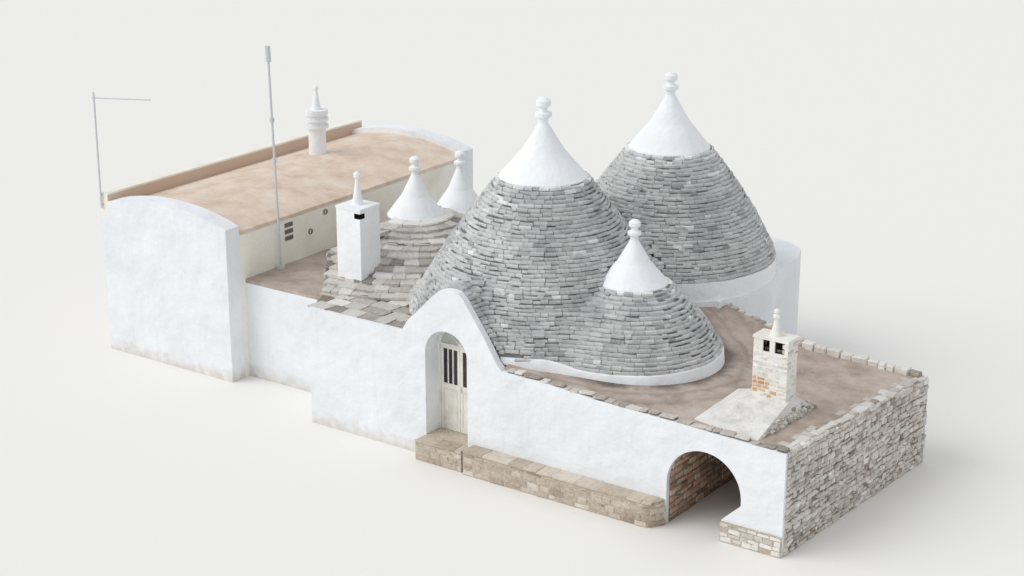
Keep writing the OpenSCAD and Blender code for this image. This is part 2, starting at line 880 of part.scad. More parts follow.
// link
module link_plan() {
    difference() {
        translate([annex_r, link_y]) square([link_w, link_l]);
        house_plan();
    }
}
module link_walls() {
    color(white) difference() {
        linear_extrude(link_z - roof_t) link_plan();
        translate([annex_r - eps, link_y + annex_t, floor_z])
            cube([far, link_l - 2 * annex_t, link_z]);
    }
}
module link_roof() {
    color(roofc) translate([0, 0, link_z - roof_t]) linear_extrude(roof_t) link_plan();
}

// annex: a cross section in elevation run along +Y from a front position
module annex_run(y, l) { translate([0, y + l, 0]) rotate([90, 0, 0]) linear_extrude(l) children(); }
module annex_arc(grow) {
    r = (annex_w * annex_w / 4 + annex_rise * annex_rise) / (2 * annex_rise);
    intersection() {
        translate([annex_mid, annex_z + annex_rise - r]) circle(r = r + grow, $fn = 960);
        translate([annex_x, floor_z]) square([annex_w, far]);
    }
}
module annex_sides() {
    intersection() {
        union() {
            translate([annex_x, 0]) square([annex_t, far]);
            translate([annex_r - annex_t, 0]) square([annex_t, far]);
        }
        union() {
            annex_arc(-roof_t);
            translate([annex_x, 0]) square([annex_w, floor_z + 10]);
        }
    }
}
module annex_hollow() {
    half = annex_w / 2 - annex_t;
    sag = annex_z + annex_rise - vault_t - annex_wall_z;
    r = (half * half + sag * sag) / (2 * sag);
    translate([annex_mid - half, floor_z]) square([2 * half, annex_wall_z - floor_z]);
    intersection() {
        translate([annex_mid, annex_wall_z + sag - r]) circle(r = r, $fn = 960);
        translate([annex_mid - half, annex_wall_z - eps]) square([2 * half, far]);
    }
}
module parapet_bar() {
    translate([annex_x, annex_y, annex_z - 1.5 * roof_t])
        cube([260, annex_l, parapet_top - annex_z + 1.5 * roof_t]);
}
module annex_walls() {
    color(pale) difference() {
        annex_run(annex_y + annex_t, annex_l - 2 * annex_t) annex_sides();
        translate([annex_r - annex_t - 50, twin2_y, 0]) way(annex_t + 100);
        parapet_bar();
    }
}
module annex_ends() {
    color(white) difference() {
        for (y = [annex_y, annex_back_y - annex_t]) annex_run(y, annex_t) {
            translate([annex_x, 0]) square([annex_w, annex_z - 200]);
            translate([0, annex_up]) annex_arc(0);
        }
        parapet_bar();
    }
}
module annex_vault() {
    color(pale) difference() {
        annex_run(annex_y + annex_t, annex_l - 2 * annex_t) difference() {
            annex_arc(0);
            annex_sides();
            annex_hollow();
        }
        parapet_bar();
    }
}
module annex_parapet() { color(pale) parapet_bar(); }
module annex_floor() {
    color(pale) translate([annex_x + annex_t, annex_y + annex_t, 0])
        cube([annex_w - 2 * annex_t, annex_l - 2 * annex_t, floor_z]);
}

// mast on the link roof with its head and two clamps, leaning a little, and pole with an arm
// on two brackets at the corner of the annex
module aerials() {
    color(white) translate([annex_r + 140, link_y + 1200, link_z]) {
        cylinder(d = 4 * mast_d, h = 60);
        translate([0, 0, 25]) rotate([0.8, -0.8, 0]) {
            cylinder(d = mast_d, h = mast_h);
            translate([0, 0, mast_h - 400]) cylinder(d = 2.3 * mast_d, h = 400);
            for (k = [0.485, 0.665]) translate([0, 0, k * mast_h])
                cylinder(d = 2 * mast_d, h = 110);
        }
    }
    color(white) translate([annex_x + 60, annex_y - 45, parapet_top]) {
        translate([0, 0, -420]) cylinder(d = 50, h = pole_h + 420);
        for (z = [-350, -90]) translate([-30, 0, z]) cube([60, 45, 40]);
        rotate([0, 0, 26]) translate([-60, 0, pole_h - 150]) rotate([0, 90, 0])
            cylinder(d = 36, h = arm_l);
    }
}

floor_rooms();
wall_front_left();
wall_front_right();
wall_left();
wall_back();
tunnel_block();
facade_right();
gable();
parapet_left();
dormer();
roof_right();
roof_left();
terrace_left();
terrace_back();
ring_main();
ring_side();
ring_back();
cone_main_foot();
cone_main();
cone_side();
cone_back();
cone_twin_front();
cone_twin_rear();
cap_main();
cap_side();
cap_back();
caps_twin();
door_frame();
leaf_left();
leaf_right();
pane_left();
pane_right();
fanlight();
ledges();
chimney_left();
chimney_right();
chimney_mound();
chimney_annex();
link_walls();
link_roof();
annex_walls();
annex_ends();
annex_vault();
annex_parapet();
annex_floor();
aerials();
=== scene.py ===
import bpy
import math
import random
from mathutils import Vector, Matrix


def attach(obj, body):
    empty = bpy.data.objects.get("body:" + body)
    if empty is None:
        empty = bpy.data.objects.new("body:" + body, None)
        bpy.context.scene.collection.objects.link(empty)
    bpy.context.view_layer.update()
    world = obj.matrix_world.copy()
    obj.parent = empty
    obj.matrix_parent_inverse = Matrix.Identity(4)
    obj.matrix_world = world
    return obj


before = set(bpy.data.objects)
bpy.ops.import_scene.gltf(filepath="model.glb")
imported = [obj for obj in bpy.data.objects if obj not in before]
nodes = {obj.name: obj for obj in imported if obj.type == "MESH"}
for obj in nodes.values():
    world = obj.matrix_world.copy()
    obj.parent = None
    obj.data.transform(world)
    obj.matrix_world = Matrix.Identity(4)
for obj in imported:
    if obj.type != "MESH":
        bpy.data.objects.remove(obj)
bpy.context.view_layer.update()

house = "house"


# colours are written as sRGB hex values
def hexColour(text, alpha=1.0):
    parts = [int(text[i:i + 2], 16) / 255 for i in (1, 3, 5)]
    linear = [p / 12.92 if p <= 0.04045 else ((p + 0.055) / 1.055) ** 2.4 for p in parts]
    return (linear[0], linear[1], linear[2], alpha)


# the camera stands where the photograph was taken, turned to centre the house
cameraSpec = {
    "place": (24.19, -35.41, 17.5),
    "aim": (-1.75, 1.2, 2.75),
    "lens": 66.0,
}


def makeCamera():
    data = bpy.data.cameras.new("viewCamera")
    data.lens = cameraSpec["lens"]
    data.sensor_width = 36
    data.clip_end = 400
    camera = bpy.data.objects.new("viewCamera", data)
    bpy.context.scene.collection.objects.link(camera)
    camera.location = cameraSpec["place"]
    towards = Vector(cameraSpec["aim"]) - Vector(cameraSpec["place"])
    camera.rotation_mode = "QUATERNION"
    camera.rotation_quaternion = towards.to_track_quat("-Z", "Y")
    bpy.context.scene.camera = camera


makeCamera()
print("camera set")

# overcast daylight: mostly sky, with one very soft key from the front left
lightSpec = {
    "sky": "#F3F6FA",
    "skyStrength": 0.76,
    "keyStrength": 1.55,
    "keyAngle": 50,
    "keyFrom": (-0.78, -0.82, 0.95),
}


# one node, its settings and its links
def addNode(tree, kind, settings=None, links=None):
    node = tree.nodes.new("ShaderNode" + kind)
    for key, value in (settings or {}).items():
        if key == "stops":
            ramp = node.color_ramp
            while len(ramp.elements) > 1:
                ramp.elements.remove(ramp.elements[-1])
            for i, (spot, text) in enumerate(value):
                stop = ramp.elements[0] if i == 0 else ramp.elements.new(spot)
                stop.position = spot
                stop.color = hexColour(text)
        elif isinstance(key, int) or not hasattr(node, key):
            node.inputs[key].default_value = value
        else:
            setattr(node, key, value)
    for key, source in (links or {}).items():
        tree.links.new(source, node.inputs[key])
    return node


def makeLights():
    world = bpy.data.worlds.new("studioSky")
    bpy.context.scene.world = world
    world.use_nodes = True
    back = world.node_tree.nodes["Background"]
    back.inputs["Color"].default_value = hexColour(lightSpec["sky"])
    back.inputs["Strength"].default_value = lightSpec["skyStrength"]
    data = bpy.data.lights.new("softKey", "SUN")
    data.energy = lightSpec["keyStrength"]
    data.angle = math.radians(lightSpec["keyAngle"])
    key = bpy.data.objects.new("softKey", data)
    bpy.context.scene.collection.objects.link(key)
    key.rotation_mode = "QUATERNION"
    key.rotation_quaternion = Vector(lightSpec["keyFrom"]).to_track_quat("Z", "Y")


makeLights()
bpy.context.scene.view_settings.view_transform = "Standard"

floorSpec = {"half": 90, "drop": 0.001, "colour": "#EDEBE7"}


# a pale floor that runs out of sight
def makeFloor():
    bpy.ops.object.select_all(action="DESELECT")
    bpy.ops.mesh.primitive_plane_add(size=2 * floorSpec["half"], location=(0, 0, -floorSpec["drop"]))
    floor = bpy.context.object
    floor.name = "studioFloor"
    material = bpy.data.materials.new("paleFloor")
    material.use_nodes = True
    shader = material.node_tree.nodes["Principled BSDF"]
    shader.inputs["Base Color"].default_value = hexColour(floorSpec["colour"])
    shader.inputs["Roughness"].default_value = 0.9
    floor.data.materials.append(material)


makeFloor()
print("stage set")


# the start of every finish: a Principled material, its node tree and its shader
def newMaterial(name, roughness, specular=0.3):
    material = bpy.data.materials.new(name)
    material.use_nodes = True
    tree = material.node_tree
    shader = tree.nodes["Principled BSDF"]
    shader.inputs["Roughness"].default_value = roughness
    shader.inputs["Specular IOR Level"].default_value = specular
    return material, tree, shader


# another colour inside a box, given by its middle and half sides in metres
def recolour(tree, shader, place, box, text):
    middle, half = box
    base = shader.inputs["Base Color"].links[0].from_socket
    boxed = addNode(tree, "Mapping", {"Location": tuple(-m / h for m, h in zip(middle, half)),
                                      "Scale": tuple(1 / h for h in half)}, {"Vector": place})
    sides = addNode(tree, "SeparateXYZ", None, {"Vector": boxed.outputs["Vector"]})
    spans = [addNode(tree, "Math", {"operation": "ABSOLUTE"}, {0: sides.outputs[k]}) for k in range(3)]
    wide = addNode(tree, "Math", {"operation": "MAXIMUM"}, {0: spans[0].outputs[0], 1: spans[1].outputs[0]})
    reach = addNode(tree, "Math", {"operation": "MAXIMUM"}, {0: wide.outputs[0], 1: spans[2].outputs[0]})
    inside = addNode(tree, "Math", {"operation": "LESS_THAN", 1: 1.0}, {0: reach.outputs[0]})
    mixed = addNode(tree, "Mix", {"data_type": "RGBA", 7: hexColour(text)}, {0: inside.outputs[0], 6: base})
    tree.links.new(mixed.outputs[2], shader.inputs["Base Color"])


# limewash brushed on by hand: chalky white, a little grey where it has thinned, streaked by rain under
# the tops and stained by splashes at the foot; bump follows the rubble underneath and the brush
def limewash(name, tones, stain, foot, boxes=()):
    material, tree, shader = newMaterial(name, 0.92, 0.15)
    place = addNode(tree, "TexCoord").outputs["Object"]
    patches = addNode(tree, "TexNoise", {"Scale": 0.9, "Detail": 6.0, "Roughness": 0.62}, {"Vector": place})
    base = addNode(tree, "ValToRGB", {"stops": tones}, {"Fac": patches.outputs["Fac"]})
    # rain streaks about 60 mm wide and a metre long
    stretch = addNode(tree, "Mapping", {"Scale": (1.0, 1.0, 0.07)}, {"Vector": place})
    streaks = addNode(tree, "TexNoise", {"Scale": 9.0, "Detail": 4.0, "Roughness": 0.7},
                      {"Vector": stretch.outputs["Vector"]})
    streakMask = addNode(tree, "MapRange", {"From Min": 0.56, "From Max": 0.78, "To Max": stain},
                         {"Value": streaks.outputs["Fac"]})
    streaked = addNode(tree, "Mix", {"data_type": "RGBA", 7: hexColour("#A9A79C")},
                       {0: streakMask.outputs["Result"], 6: base.outputs["Color"]})
    # earth splashed up to about 350 mm, broken by noise
    height = addNode(tree, "SeparateXYZ", links={"Vector": place})
    blotch = addNode(tree, "TexNoise", {"Scale": 5.0, "Detail": 5.0}, {"Vector": place})
    ragged = addNode(tree, "Math", {"operation": "MULTIPLY_ADD", 1: 0.7}, {0: blotch.outputs["Fac"],
                     2: height.outputs["Z"]})
    splash = addNode(tree, "MapRange", {"From Min": 0.72, "From Max": 0.28, "To Min": 0.0, "To Max": foot},
                     {"Value": ragged.outputs["Value"]})
    dirty = addNode(tree, "Mix", {"data_type": "RGBA", 7: hexColour("#B9A78E")},
                    {0: splash.outputs["Result"], 6: streaked.outputs[2]})
    tree.links.new(dirty.outputs[2], shader.inputs["Base Color"])
    # wall waves about 350 mm long, brush and grit about 30 mm
    waves = addNode(tree, "TexNoise", {"Scale": 2.6, "Detail": 3.0}, {"Vector": place})
    brush = addNode(tree, "TexNoise", {"Scale": 28.0, "Detail": 4.0, "Roughness": 0.6}, {"Vector": place})
    low = addNode(tree, "Bump", {"Strength": 0.55, "Distance": 0.10}, {"Height": waves.outputs["Fac"]})
    fine = addNode(tree, "Bump", {"Strength": 0.35, "Distance": 0.012},
                   {"Height": brush.outputs["Fac"], "Normal": low.outputs["Normal"]})
    tree.links.new(fine.outputs["Normal"], shader.inputs["Normal"])
    for box, text in boxes:
        recolour(tree, shader, place, box, text)
    return material


# limestone broken by hammer and weathered outdoors: matt, each stone its own tone from the tint attribute,
# with grey algae in patches, pale lichen spots and a rough bump of chips
def dryStone(name, tones, lichen, algae, grain=14.0):
    material, tree, shader = newMaterial(name, 0.9, 0.2)
    place = addNode(tree, "TexCoord").outputs["Object"]
    tint = addNode(tree, "Attribute", {"attribute_name": "tint"})
    mottled = addNode(tree, "TexNoise", {"Scale": grain, "Detail": 6.0, "Roughness": 0.65}, {"Vector": place})
    swing = addNode(tree, "MapRange", {"From Min": 0.3, "From Max": 0.7, "To Min": -0.16, "To Max": 0.16,
                                       "clamp": False}, {"Value": mottled.outputs["Fac"]})
    tone = addNode(tree, "Math", {"operation": "ADD"}, {0: tint.outputs["Fac"], 1: swing.outputs["Result"]})
    base = addNode(tree, "ValToRGB", {"stops": tones}, {"Fac": tone.outputs["Value"]})
    # algae in patches about a metre across
    patches = addNode(tree, "TexNoise", {"Scale": 0.8, "Detail": 5.0, "Roughness": 0.6}, {"Vector": place})
    wet = addNode(tree, "MapRange", {"From Min": 0.47, "From Max": 0.70, "To Max": algae},
                  {"Value": patches.outputs["Fac"]})
    aged = addNode(tree, "Mix", {"data_type": "RGBA", "blend_type": "MULTIPLY", 7: hexColour("#A3A5A8")},
                   {0: wet.outputs["Result"], 6: base.outputs["Color"]})
    # lichen spots 20 to 60 mm across
    spots = addNode(tree, "TexNoise", {"Scale": 22.0, "Detail": 2.0}, {"Vector": place})
    spotMask = addNode(tree, "MapRange", {"From Min": 0.60, "From Max": 0.68, "To Max": lichen},
                       {"Value": spots.outputs["Fac"]})
    dotted = addNode(tree, "Mix", {"data_type": "RGBA", 7: hexColour("#D6D3CC")},
                     {0: spotMask.outputs["Result"], 6: aged.outputs[2]})
    tree.links.new(dotted.outputs[2], shader.inputs["Base Color"])
    chips = addNode(tree, "TexNoise", {"Scale": 35.0, "Detail": 5.0, "Roughness": 0.7}, {"Vector": place})
    bump = addNode(tree, "Bump", {"Strength": 0.7, "Distance": 0.02}, {"Height": chips.outputs["Fac"]})
    tree.links.new(bump.outputs["Normal"], shader.inputs["Normal"])
    return material


# earth and lime packed behind dry stones and trodden on floors: dusty, uneven, with crumbs 50 mm wide
def packing(name, dark, light, boxes=()):
    material, tree, shader = newMaterial(name, 0.95, 0.1)
    place = addNode(tree, "TexCoord").outputs["Object"]
    crumbs = addNode(tree, "TexNoise", {"Scale": 18.0, "Detail": 5.0}, {"Vector": place})
    base = addNode(tree, "ValToRGB", {"stops": [(0.35, dark), (0.7, light)]}, {"Fac": crumbs.outputs["Fac"]})
    tree.links.new(base.outputs["Color"], shader.inputs["Base Color"])
    for box, text in boxes:
        recolour(tree, shader, place, box, text)
    bump = addNode(tree, "Bump", {"Strength": 0.8, "Distance": 0.02}, {"Height": crumbs.outputs["Fac"]})
    tree.links.new(bump.outputs["Normal"], shader.inputs["Normal"])
    return material


# beaten lime and tuff-dust screed: matt and stained, with a dark line round the foot of the small front cone,
# part dirt where water stands and part painted shadow, two soft tide marks outside it, pale worn spots and
# fine grit
def limeScreed(name, tones, ringAt, ringRadius):
    material, tree, shader = newMaterial(name, 0.93, 0.15)
    place = addNode(tree, "TexCoord").outputs["Object"]
    clouds = addNode(tree, "TexNoise", {"Scale": 1.3, "Detail": 8.0, "Roughness": 0.68}, {"Vector": place})
    centred = addNode(tree, "Mapping", {"Location": (-ringAt[0], -ringAt[1], 0.0), "Scale": (1, 1, 0)},
                      {"Vector": place})
    reach = addNode(tree, "VectorMath", {"operation": "LENGTH"}, {0: centred.outputs["Vector"]})
    wobble = addNode(tree, "Math", {"operation": "MULTIPLY_ADD", 1: 0.9},
                     {0: clouds.outputs["Fac"], 2: reach.outputs["Value"]})
    # the dark line of dirt and painted shadow lies within about 120 mm of the ring, the tide marks 450 and
    # 950 mm out
    stainsAndFootShade = addNode(tree, "ValToRGB", {"stops": [(0.0, "#5A5A5A"), (0.12, "#8E8E8E"), (0.22, "#BCBCBC"),
                                                 (0.34, "#D4D4D4"), (0.42, "#B2B2B2"), (0.52, "#D4D4D4"),
                                                 (0.68, "#D4D4D4"), (0.78, "#C0C0C0"), (0.90, "#D4D4D4")]})
    band = addNode(tree, "MapRange", {"From Min": ringRadius + 0.38, "From Max": ringRadius + 1.75},
                   {"Value": wobble.outputs["Value"]})
    tree.links.new(band.outputs["Result"], stainsAndFootShade.inputs["Fac"])
    base = addNode(tree, "ValToRGB", {"stops": tones}, {"Fac": clouds.outputs["Fac"]})
    grit = addNode(tree, "TexNoise", {"Scale": 16.0, "Detail": 4.0, "Roughness": 0.7}, {"Vector": place})
    gritMask = addNode(tree, "MapRange", {"From Min": 0.56, "From Max": 0.70, "To Max": 0.65},
                       {"Value": grit.outputs["Fac"]})
    worn = addNode(tree, "Mix", {"data_type": "RGBA", 7: hexColour("#C3BAB0")},
                   {0: gritMask.outputs["Result"], 6: base.outputs["Color"]})
    stainedAndShaded = addNode(tree, "Mix", {"data_type": "RGBA", "blend_type": "MULTIPLY", 0: 0.75},
                     {6: worn.outputs[2], 7: stainsAndFootShade.outputs["Color"]})
    # the marks and the painted shadow darken the whole roof a little, and 1.3 lifts it back to the tones of
    # the stops
    lifted = addNode(tree, "Mix", {"data_type": "RGBA", "blend_type": "MULTIPLY", 0: 1.0,
                                   7: (1.3, 1.3, 1.3, 1.0)}, {6: stainedAndShaded.outputs[2]})
    tree.links.new(lifted.outputs[2], shader.inputs["Base Color"])
    rough = addNode(tree, "Bump", {"Strength": 0.6, "Distance": 0.02}, {"Height": grit.outputs["Fac"]})
    sagging = addNode(tree, "Bump", {"Strength": 0.5, "Distance": 0.12},
                      {"Height": clouds.outputs["Fac"], "Normal": rough.outputs["Normal"]})
    tree.links.new(sagging.outputs["Normal"], shader.inputs["Normal"])
    return material


# lime plaster floated by hand: matt, blotched by damp and dust, small pits
def floatedPlaster(name, tones, pits, patchScale=1.0, boxes=()):
    material, tree, shader = newMaterial(name, 0.9, 0.2)
    place = addNode(tree, "TexCoord").outputs["Object"]
    clouds = addNode(tree, "TexNoise", {"Scale": patchScale, "Detail": 9.0, "Roughness": 0.66},
                     {"Vector": place})
    base = addNode(tree, "ValToRGB", {"stops": tones}, {"Fac": clouds.outputs["Fac"]})
    specks = addNode(tree, "TexNoise", {"Scale": 20.0, "Detail": 3.0}, {"Vector": place})
    speckMask = addNode(tree, "MapRange", {"From Min": 0.60, "From Max": 0.72, "To Max": 0.5},
                        {"Value": specks.outputs["Fac"]})
    pitted = addNode(tree, "Mix", {"data_type": "RGBA", 7: hexColour(pits)},
                     {0: speckMask.outputs["Result"], 6: base.outputs["Color"]})
    tree.links.new(pitted.outputs[2], shader.inputs["Base Color"])
    for box, text in boxes:
        recolour(tree, shader, place, box, text)
    low = addNode(tree, "Bump", {"Strength": 0.45, "Distance": 0.08}, {"Height": clouds.outputs["Fac"]})
    fine = addNode(tree, "Bump", {"Strength": 0.3, "Distance": 0.01},
                   {"Height": specks.outputs["Fac"], "Normal": low.outputs["Normal"]})
    tree.links.new(fine.outputs["Normal"], shader.inputs["Normal"])
    return material


# oil paint brushed on softwood boards: low sheen, grain and brush marks running upright, chalked by sun
def brushedPaint(name, tones):
    material, tree, shader = newMaterial(name, 0.55, 0.4)
    place = addNode(tree, "TexCoord").outputs["Object"]
    stretch = addNode(tree, "Mapping", {"Scale": (1.0, 1.0, 0.05)}, {"Vector": place})
    grain = addNode(tree, "TexNoise", {"Scale": 90.0, "Detail": 4.0}, {"Vector": stretch.outputs["Vector"]})
    chalk = addNode(tree, "TexNoise", {"Scale": 4.0, "Detail": 4.0}, {"Vector": place})
    both = addNode(tree, "Math", {"operation": "MULTIPLY_ADD", 1: 0.35},
                   {0: grain.outputs["Fac"], 2: chalk.outputs["Fac"]})
    base = addNode(tree, "ValToRGB", {"stops": tones}, {"Fac": both.outputs["Value"]})
    tree.links.new(base.outputs["Color"], shader.inputs["Base Color"])
    bump = addNode(tree, "Bump", {"Strength": 0.25, "Distance": 0.003}, {"Height": grain.outputs["Fac"]})
    tree.links.new(bump.outputs["Normal"], shader.inputs["Normal"])
    return material


# window glass, glossy with a little dust: painted black-brown as the shade of the dark room behind, or
# painted pale as a reflection of the sky
def windowGlass(name, tones, haze):
    material, tree, shader = newMaterial(name, 0.08, 0.5)
    shader.inputs["IOR"].default_value = 1.5
    place = addNode(tree, "TexCoord").outputs["Object"]
    dust = addNode(tree, "TexNoise", {"Scale": 7.0, "Detail": 5.0}, {"Vector": place})
    base = addNode(tree, "ValToRGB", {"stops": tones}, {"Fac": dust.outputs["Fac"]})
    tree.links.new(base.outputs["Color"], shader.inputs["Base Color"])
    blur = addNode(tree, "MapRange", {"From Min": 0.4, "From Max": 0.7, "To Min": haze, "To Max": haze + 0.2},
                   {"Value": dust.outputs["Fac"]})
    tree.links.new(blur.outputs["Result"], shader.inputs["Roughness"])
    return material


# galvanised steel tube gone dull outdoors: soft grey spangle, satin
def dullZinc(name, tones):
    material, tree, shader = newMaterial(name, 0.5)
    shader.inputs["Metallic"].default_value = 0.35
    place = addNode(tree, "TexCoord").outputs["Object"]
    spangle = addNode(tree, "TexVoronoi", {"Scale": 60.0}, {"Vector": place})
    base = addNode(tree, "ValToRGB", {"stops": tones}, {"Fac": spangle.outputs["Distance"]})
    tree.links.new(base.outputs["Color"], shader.inputs["Base Color"])
    return material


# faces of a node that look different from the rest of it, as a box of middle and half sides, and a colour:
# the slots near the top of the chimney on the lower block and the notch of the square one are painted near
# black, part soot and part painted shade inside the openings, the inner side of the far parapet is faced like
# the vault up to its pale top edge, and the limewash of the door niche runs on over whatever the niche cuts
sootAndShadeBox = (((6.99, -1.395, 3.83), (0.35, 0.19, 0.14)), "#2A2725")
notchBox = (((-4.285, -1.655, 4.885), (0.092, 0.092, 0.067)), "#2A2725")
parapetBox = (((-12.0, 2.7, 3.6), (0.4, 5.24, 0.75)), "#D3BCA8")
nicheBox = (((-0.35, -3.2, 1.6), (0.63, 0.6, 1.62)), "#EAECEE")

freshWhite = [(0.30, "#E9EBED"), (0.60, "#F3F4F5")]
cream = [(0.30, "#E8E3D4"), (0.50, "#F1EDE1"), (0.70, "#F6F4EC")]
finishes = {
    # limewash: stained on the walls, fresher on the caps, rings and chimneys
    "wallLimewash": limewash("wallLimewash", [(0.30, "#E2E5E7"), (0.50, "#EAECEE"), (0.72, "#F0F2F3")],
                             0.14, 0.5),
    "capLimewash": limewash("capLimewash", freshWhite, 0.10, 0.0),
    "stackLimewash": limewash("stackLimewash", freshWhite, 0.10, 0.0, [notchBox]),
    # limestone: cold grey slabs on the cones, warmer ones on the low roof, rubble from grey to brown
    "coneSlabs": dryStone("coneSlabs", [(0.0, "#9E9E9D"), (0.25, "#B7B7B6"), (0.5, "#CBCBCA"),
                                        (0.75, "#DADAD8"), (0.95, "#E6E6E4"), (1.1, "#F4F4F3")], 0.4, 0.45),
    "roofSlabs": dryStone("roofSlabs", [(0.0, "#87827B"), (0.25, "#ABA59D"), (0.5, "#C6C1B9"),
                                        (0.75, "#D9D5CE"), (1.0, "#EAE7E2")], 0.4, 0.35),
    "wallRubble": dryStone("wallRubble", [(0.0, "#958B80"), (0.25, "#BBB2A8"), (0.5, "#D2CBC2"),
                                          (0.75, "#E0DBD4"), (1.0, "#EFECE7")], 0.5, 0.3, 9.0),
    "vaultRubble": dryStone("vaultRubble", [(0.0, "#8E7161"), (0.3, "#B3937F"), (0.6, "#CFB29C"),
                                            (1.0, "#E5D0BD")], 0.12, 0.3, 9.0),
    "ledgeStone": dryStone("ledgeStone", [(0.0, "#948474"), (0.3, "#B5A593"), (0.6, "#CABDAD"),
                                          (1.0, "#E2DACE")], 0.35, 0.2, 9.0),
    "paleRubble": dryStone("paleRubble", [(0.0, "#B4AA9C"), (0.3, "#D6D0C5"), (0.6, "#E6E2DA"),
                                          (1.0, "#F2F0EC")], 0.5, 0.15, 12.0),
    "firedRubble": dryStone("firedRubble", [(0.0, "#A5785A"), (0.3, "#C49069"), (0.6, "#D9AC88"),
                                            (1.0, "#EBD0B6")], 0.2, 0.1, 12.0),
    "darkPacking": packing("darkPacking", "#747372", "#91908E", [nicheBox]),
    "palePacking": packing("palePacking", "#776D62", "#9C9286"),
    "ledgePacking": packing("ledgePacking", "#ADA192", "#CBC1B3"),
    "floorPaving": packing("floorPaving", "#B7AB97", "#CDC3B2"),
    "roofScreed": limeScreed("roofScreed", [(0.30, "#988A80"), (0.45, "#B3A398"), (0.60, "#C4B6AB"),
                                            (0.78, "#D3C9BF")], (2.73, -0.29), 2.19),
    # plaster: pinkish on the vault, cream on the annex walls, greyer with soot and rain on the chimney, its
    # slots painted dark for soot and shade
    "annexScreed": floatedPlaster("annexScreed", [(0.32, "#CDB6A3"), (0.50, "#DDCAB8"), (0.68, "#E6D9CA")],
                                  "#BFA895", 1.4),
    "creamPlaster": floatedPlaster("creamPlaster", cream, "#C9C1AB", 1.1),
    "parapetPlaster": floatedPlaster("parapetPlaster", cream, "#C9C1AB", 1.1, [parapetBox]),
    "ventMortar": floatedPlaster("ventMortar", [(0.30, "#6E6A64"), (0.70, "#8B867F")], "#5A564F", 6.0),
    "chimneyPlaster": floatedPlaster("chimneyPlaster", [(0.32, "#E0DCD2"), (0.50, "#EBE8E0"),
                                                        (0.68, "#F3F1EC")], "#BDB3A2", 2.4, [sootAndShadeBox]),
    "moundPlaster": floatedPlaster("moundPlaster", [(0.32, "#C8C5BE"), (0.44, "#DAD8D3"), (0.58, "#E6E4E1"),
                                                    (0.74, "#EFEEEB")], "#ABA8A2", 3.0),
    "doorPaint": brushedPaint("doorPaint", [(0.45, "#D9D7CA"), (0.62, "#E6E4DA"), (0.82, "#EEECE4")]),
    # the panes of the leaves: painted dark as the shade of the room behind, with dust
    "dustyShadedGlass": windowGlass("dustyShadedGlass", [(0.35, "#1E1B19"), (0.75, "#3A3733")], 0.06),
    # the arched light: painted pale as a reflection of the sky, with dust
    "skyReflectionGlass": windowGlass("skyReflectionGlass", [(0.35, "#AEB3AC"), (0.75, "#C6CAC3")], 0.35),
    "dullZinc": dullZinc("dullZinc", [(0.0, "#B9BDC0"), (0.6, "#D3D6D8")]),
}
# the nodes of each finish; all the others are limewashed walls
coveredBy = {
    "darkPacking": ("cone_main", "cone_main_foot", "cone_side", "cone_back", "cone_twin_front",
                    "cone_twin_rear", "dormer"),
    "palePacking": ("roof_left", "tunnel_block"),
    "ledgePacking": ("ledges",),
    "floorPaving": ("floor_rooms", "annex_floor"),
    "roofScreed": ("roof_right", "link_roof"),
    "annexScreed": ("annex_vault",),
    "creamPlaster": ("annex_walls",),
    "parapetPlaster": ("annex_parapet",),
    "chimneyPlaster": ("chimney_right",),
    "moundPlaster": ("chimney_mound",),
    "capLimewash": ("cap_main", "cap_side", "cap_back", "caps_twin", "ring_side", "ring_back",
                    "chimney_annex"),
    "stackLimewash": ("chimney_left",),
    "doorPaint": ("leaf_left", "leaf_right", "door_frame"),
    "dustyShadedGlass": ("pane_left", "pane_right"),
    "skyReflectionGlass": ("fanlight",),
    "dullZinc": ("aerials",),
}
finishOf = {name: finish for finish, group in coveredBy.items() for name in group}
for name, node in nodes.items():
    node.data.materials.clear()
    node.data.materials.append(finishes[finishOf.get(name, "wallLimewash")])
print("materials made")


# one stone: a block with its outer face at y = 0 and its bed at z = 0, arrises knocked off
def modelStone(length, depth, height, worn, rough, seed):
    bpy.ops.object.select_all(action="DESELECT")
    bpy.ops.mesh.primitive_cube_add(size=1, location=(0, -depth / 2, height / 2))
    stone = bpy.context.object
    bpy.ops.object.mode_set(mode="EDIT")
    bpy.ops.mesh.select_all(action="SELECT")
    bpy.ops.transform.resize(value=(length, depth, height), center_override=(0, -depth / 2, height / 2))
    bpy.ops.mesh.bevel(offset=worn, segments=1, affect="EDGES")
    bpy.ops.mesh.select_all(action="SELECT")
    bpy.ops.transform.vertex_random(offset=rough, uniform=1.0, normal=0.0, seed=seed)
    bpy.ops.object.mode_set(mode="OBJECT")
    bpy.ops.object.transform_apply(location=True, rotation=True, scale=True)
    mesh = stone.data
    shape = {"length": length, "height": height, "depth": depth,
             "points": [v.co.copy() for v in mesh.vertices],
             "faces": [tuple(p.vertices) for p in mesh.polygons]}
    bpy.data.objects.remove(stone, do_unlink=True)
    return shape


# thin slabs for the cones, broad ones for the low roofs, and lumps for rubble; rough is how far their
# points are knocked about
slabSpec = {"length": 0.34, "depth": 0.22, "height": 0.075, "worn": 0.011, "rough": 0.009, "kinds": 8}
broadSpec = {"length": 0.52, "depth": 0.46, "height": 0.085, "worn": 0.014, "rough": 0.014, "kinds": 8}
rubbleSpec = {"length": 0.28, "depth": 0.14, "height": 0.17, "worn": 0.026, "rough": 0.014, "kinds": 9}


def stoneKinds(spec, seed):
    return [modelStone(spec["length"], spec["depth"], spec["height"], spec["worn"] * (0.8 + 0.1 * (k % 5)),
                       spec["rough"], seed + k) for k in range(spec["kinds"])]


slabKinds = stoneKinds(slabSpec, 10)
broadKinds = stoneKinds(broadSpec, 40)
rubbleKinds = stoneKinds(rubbleSpec, 70)
print("stones modelled")


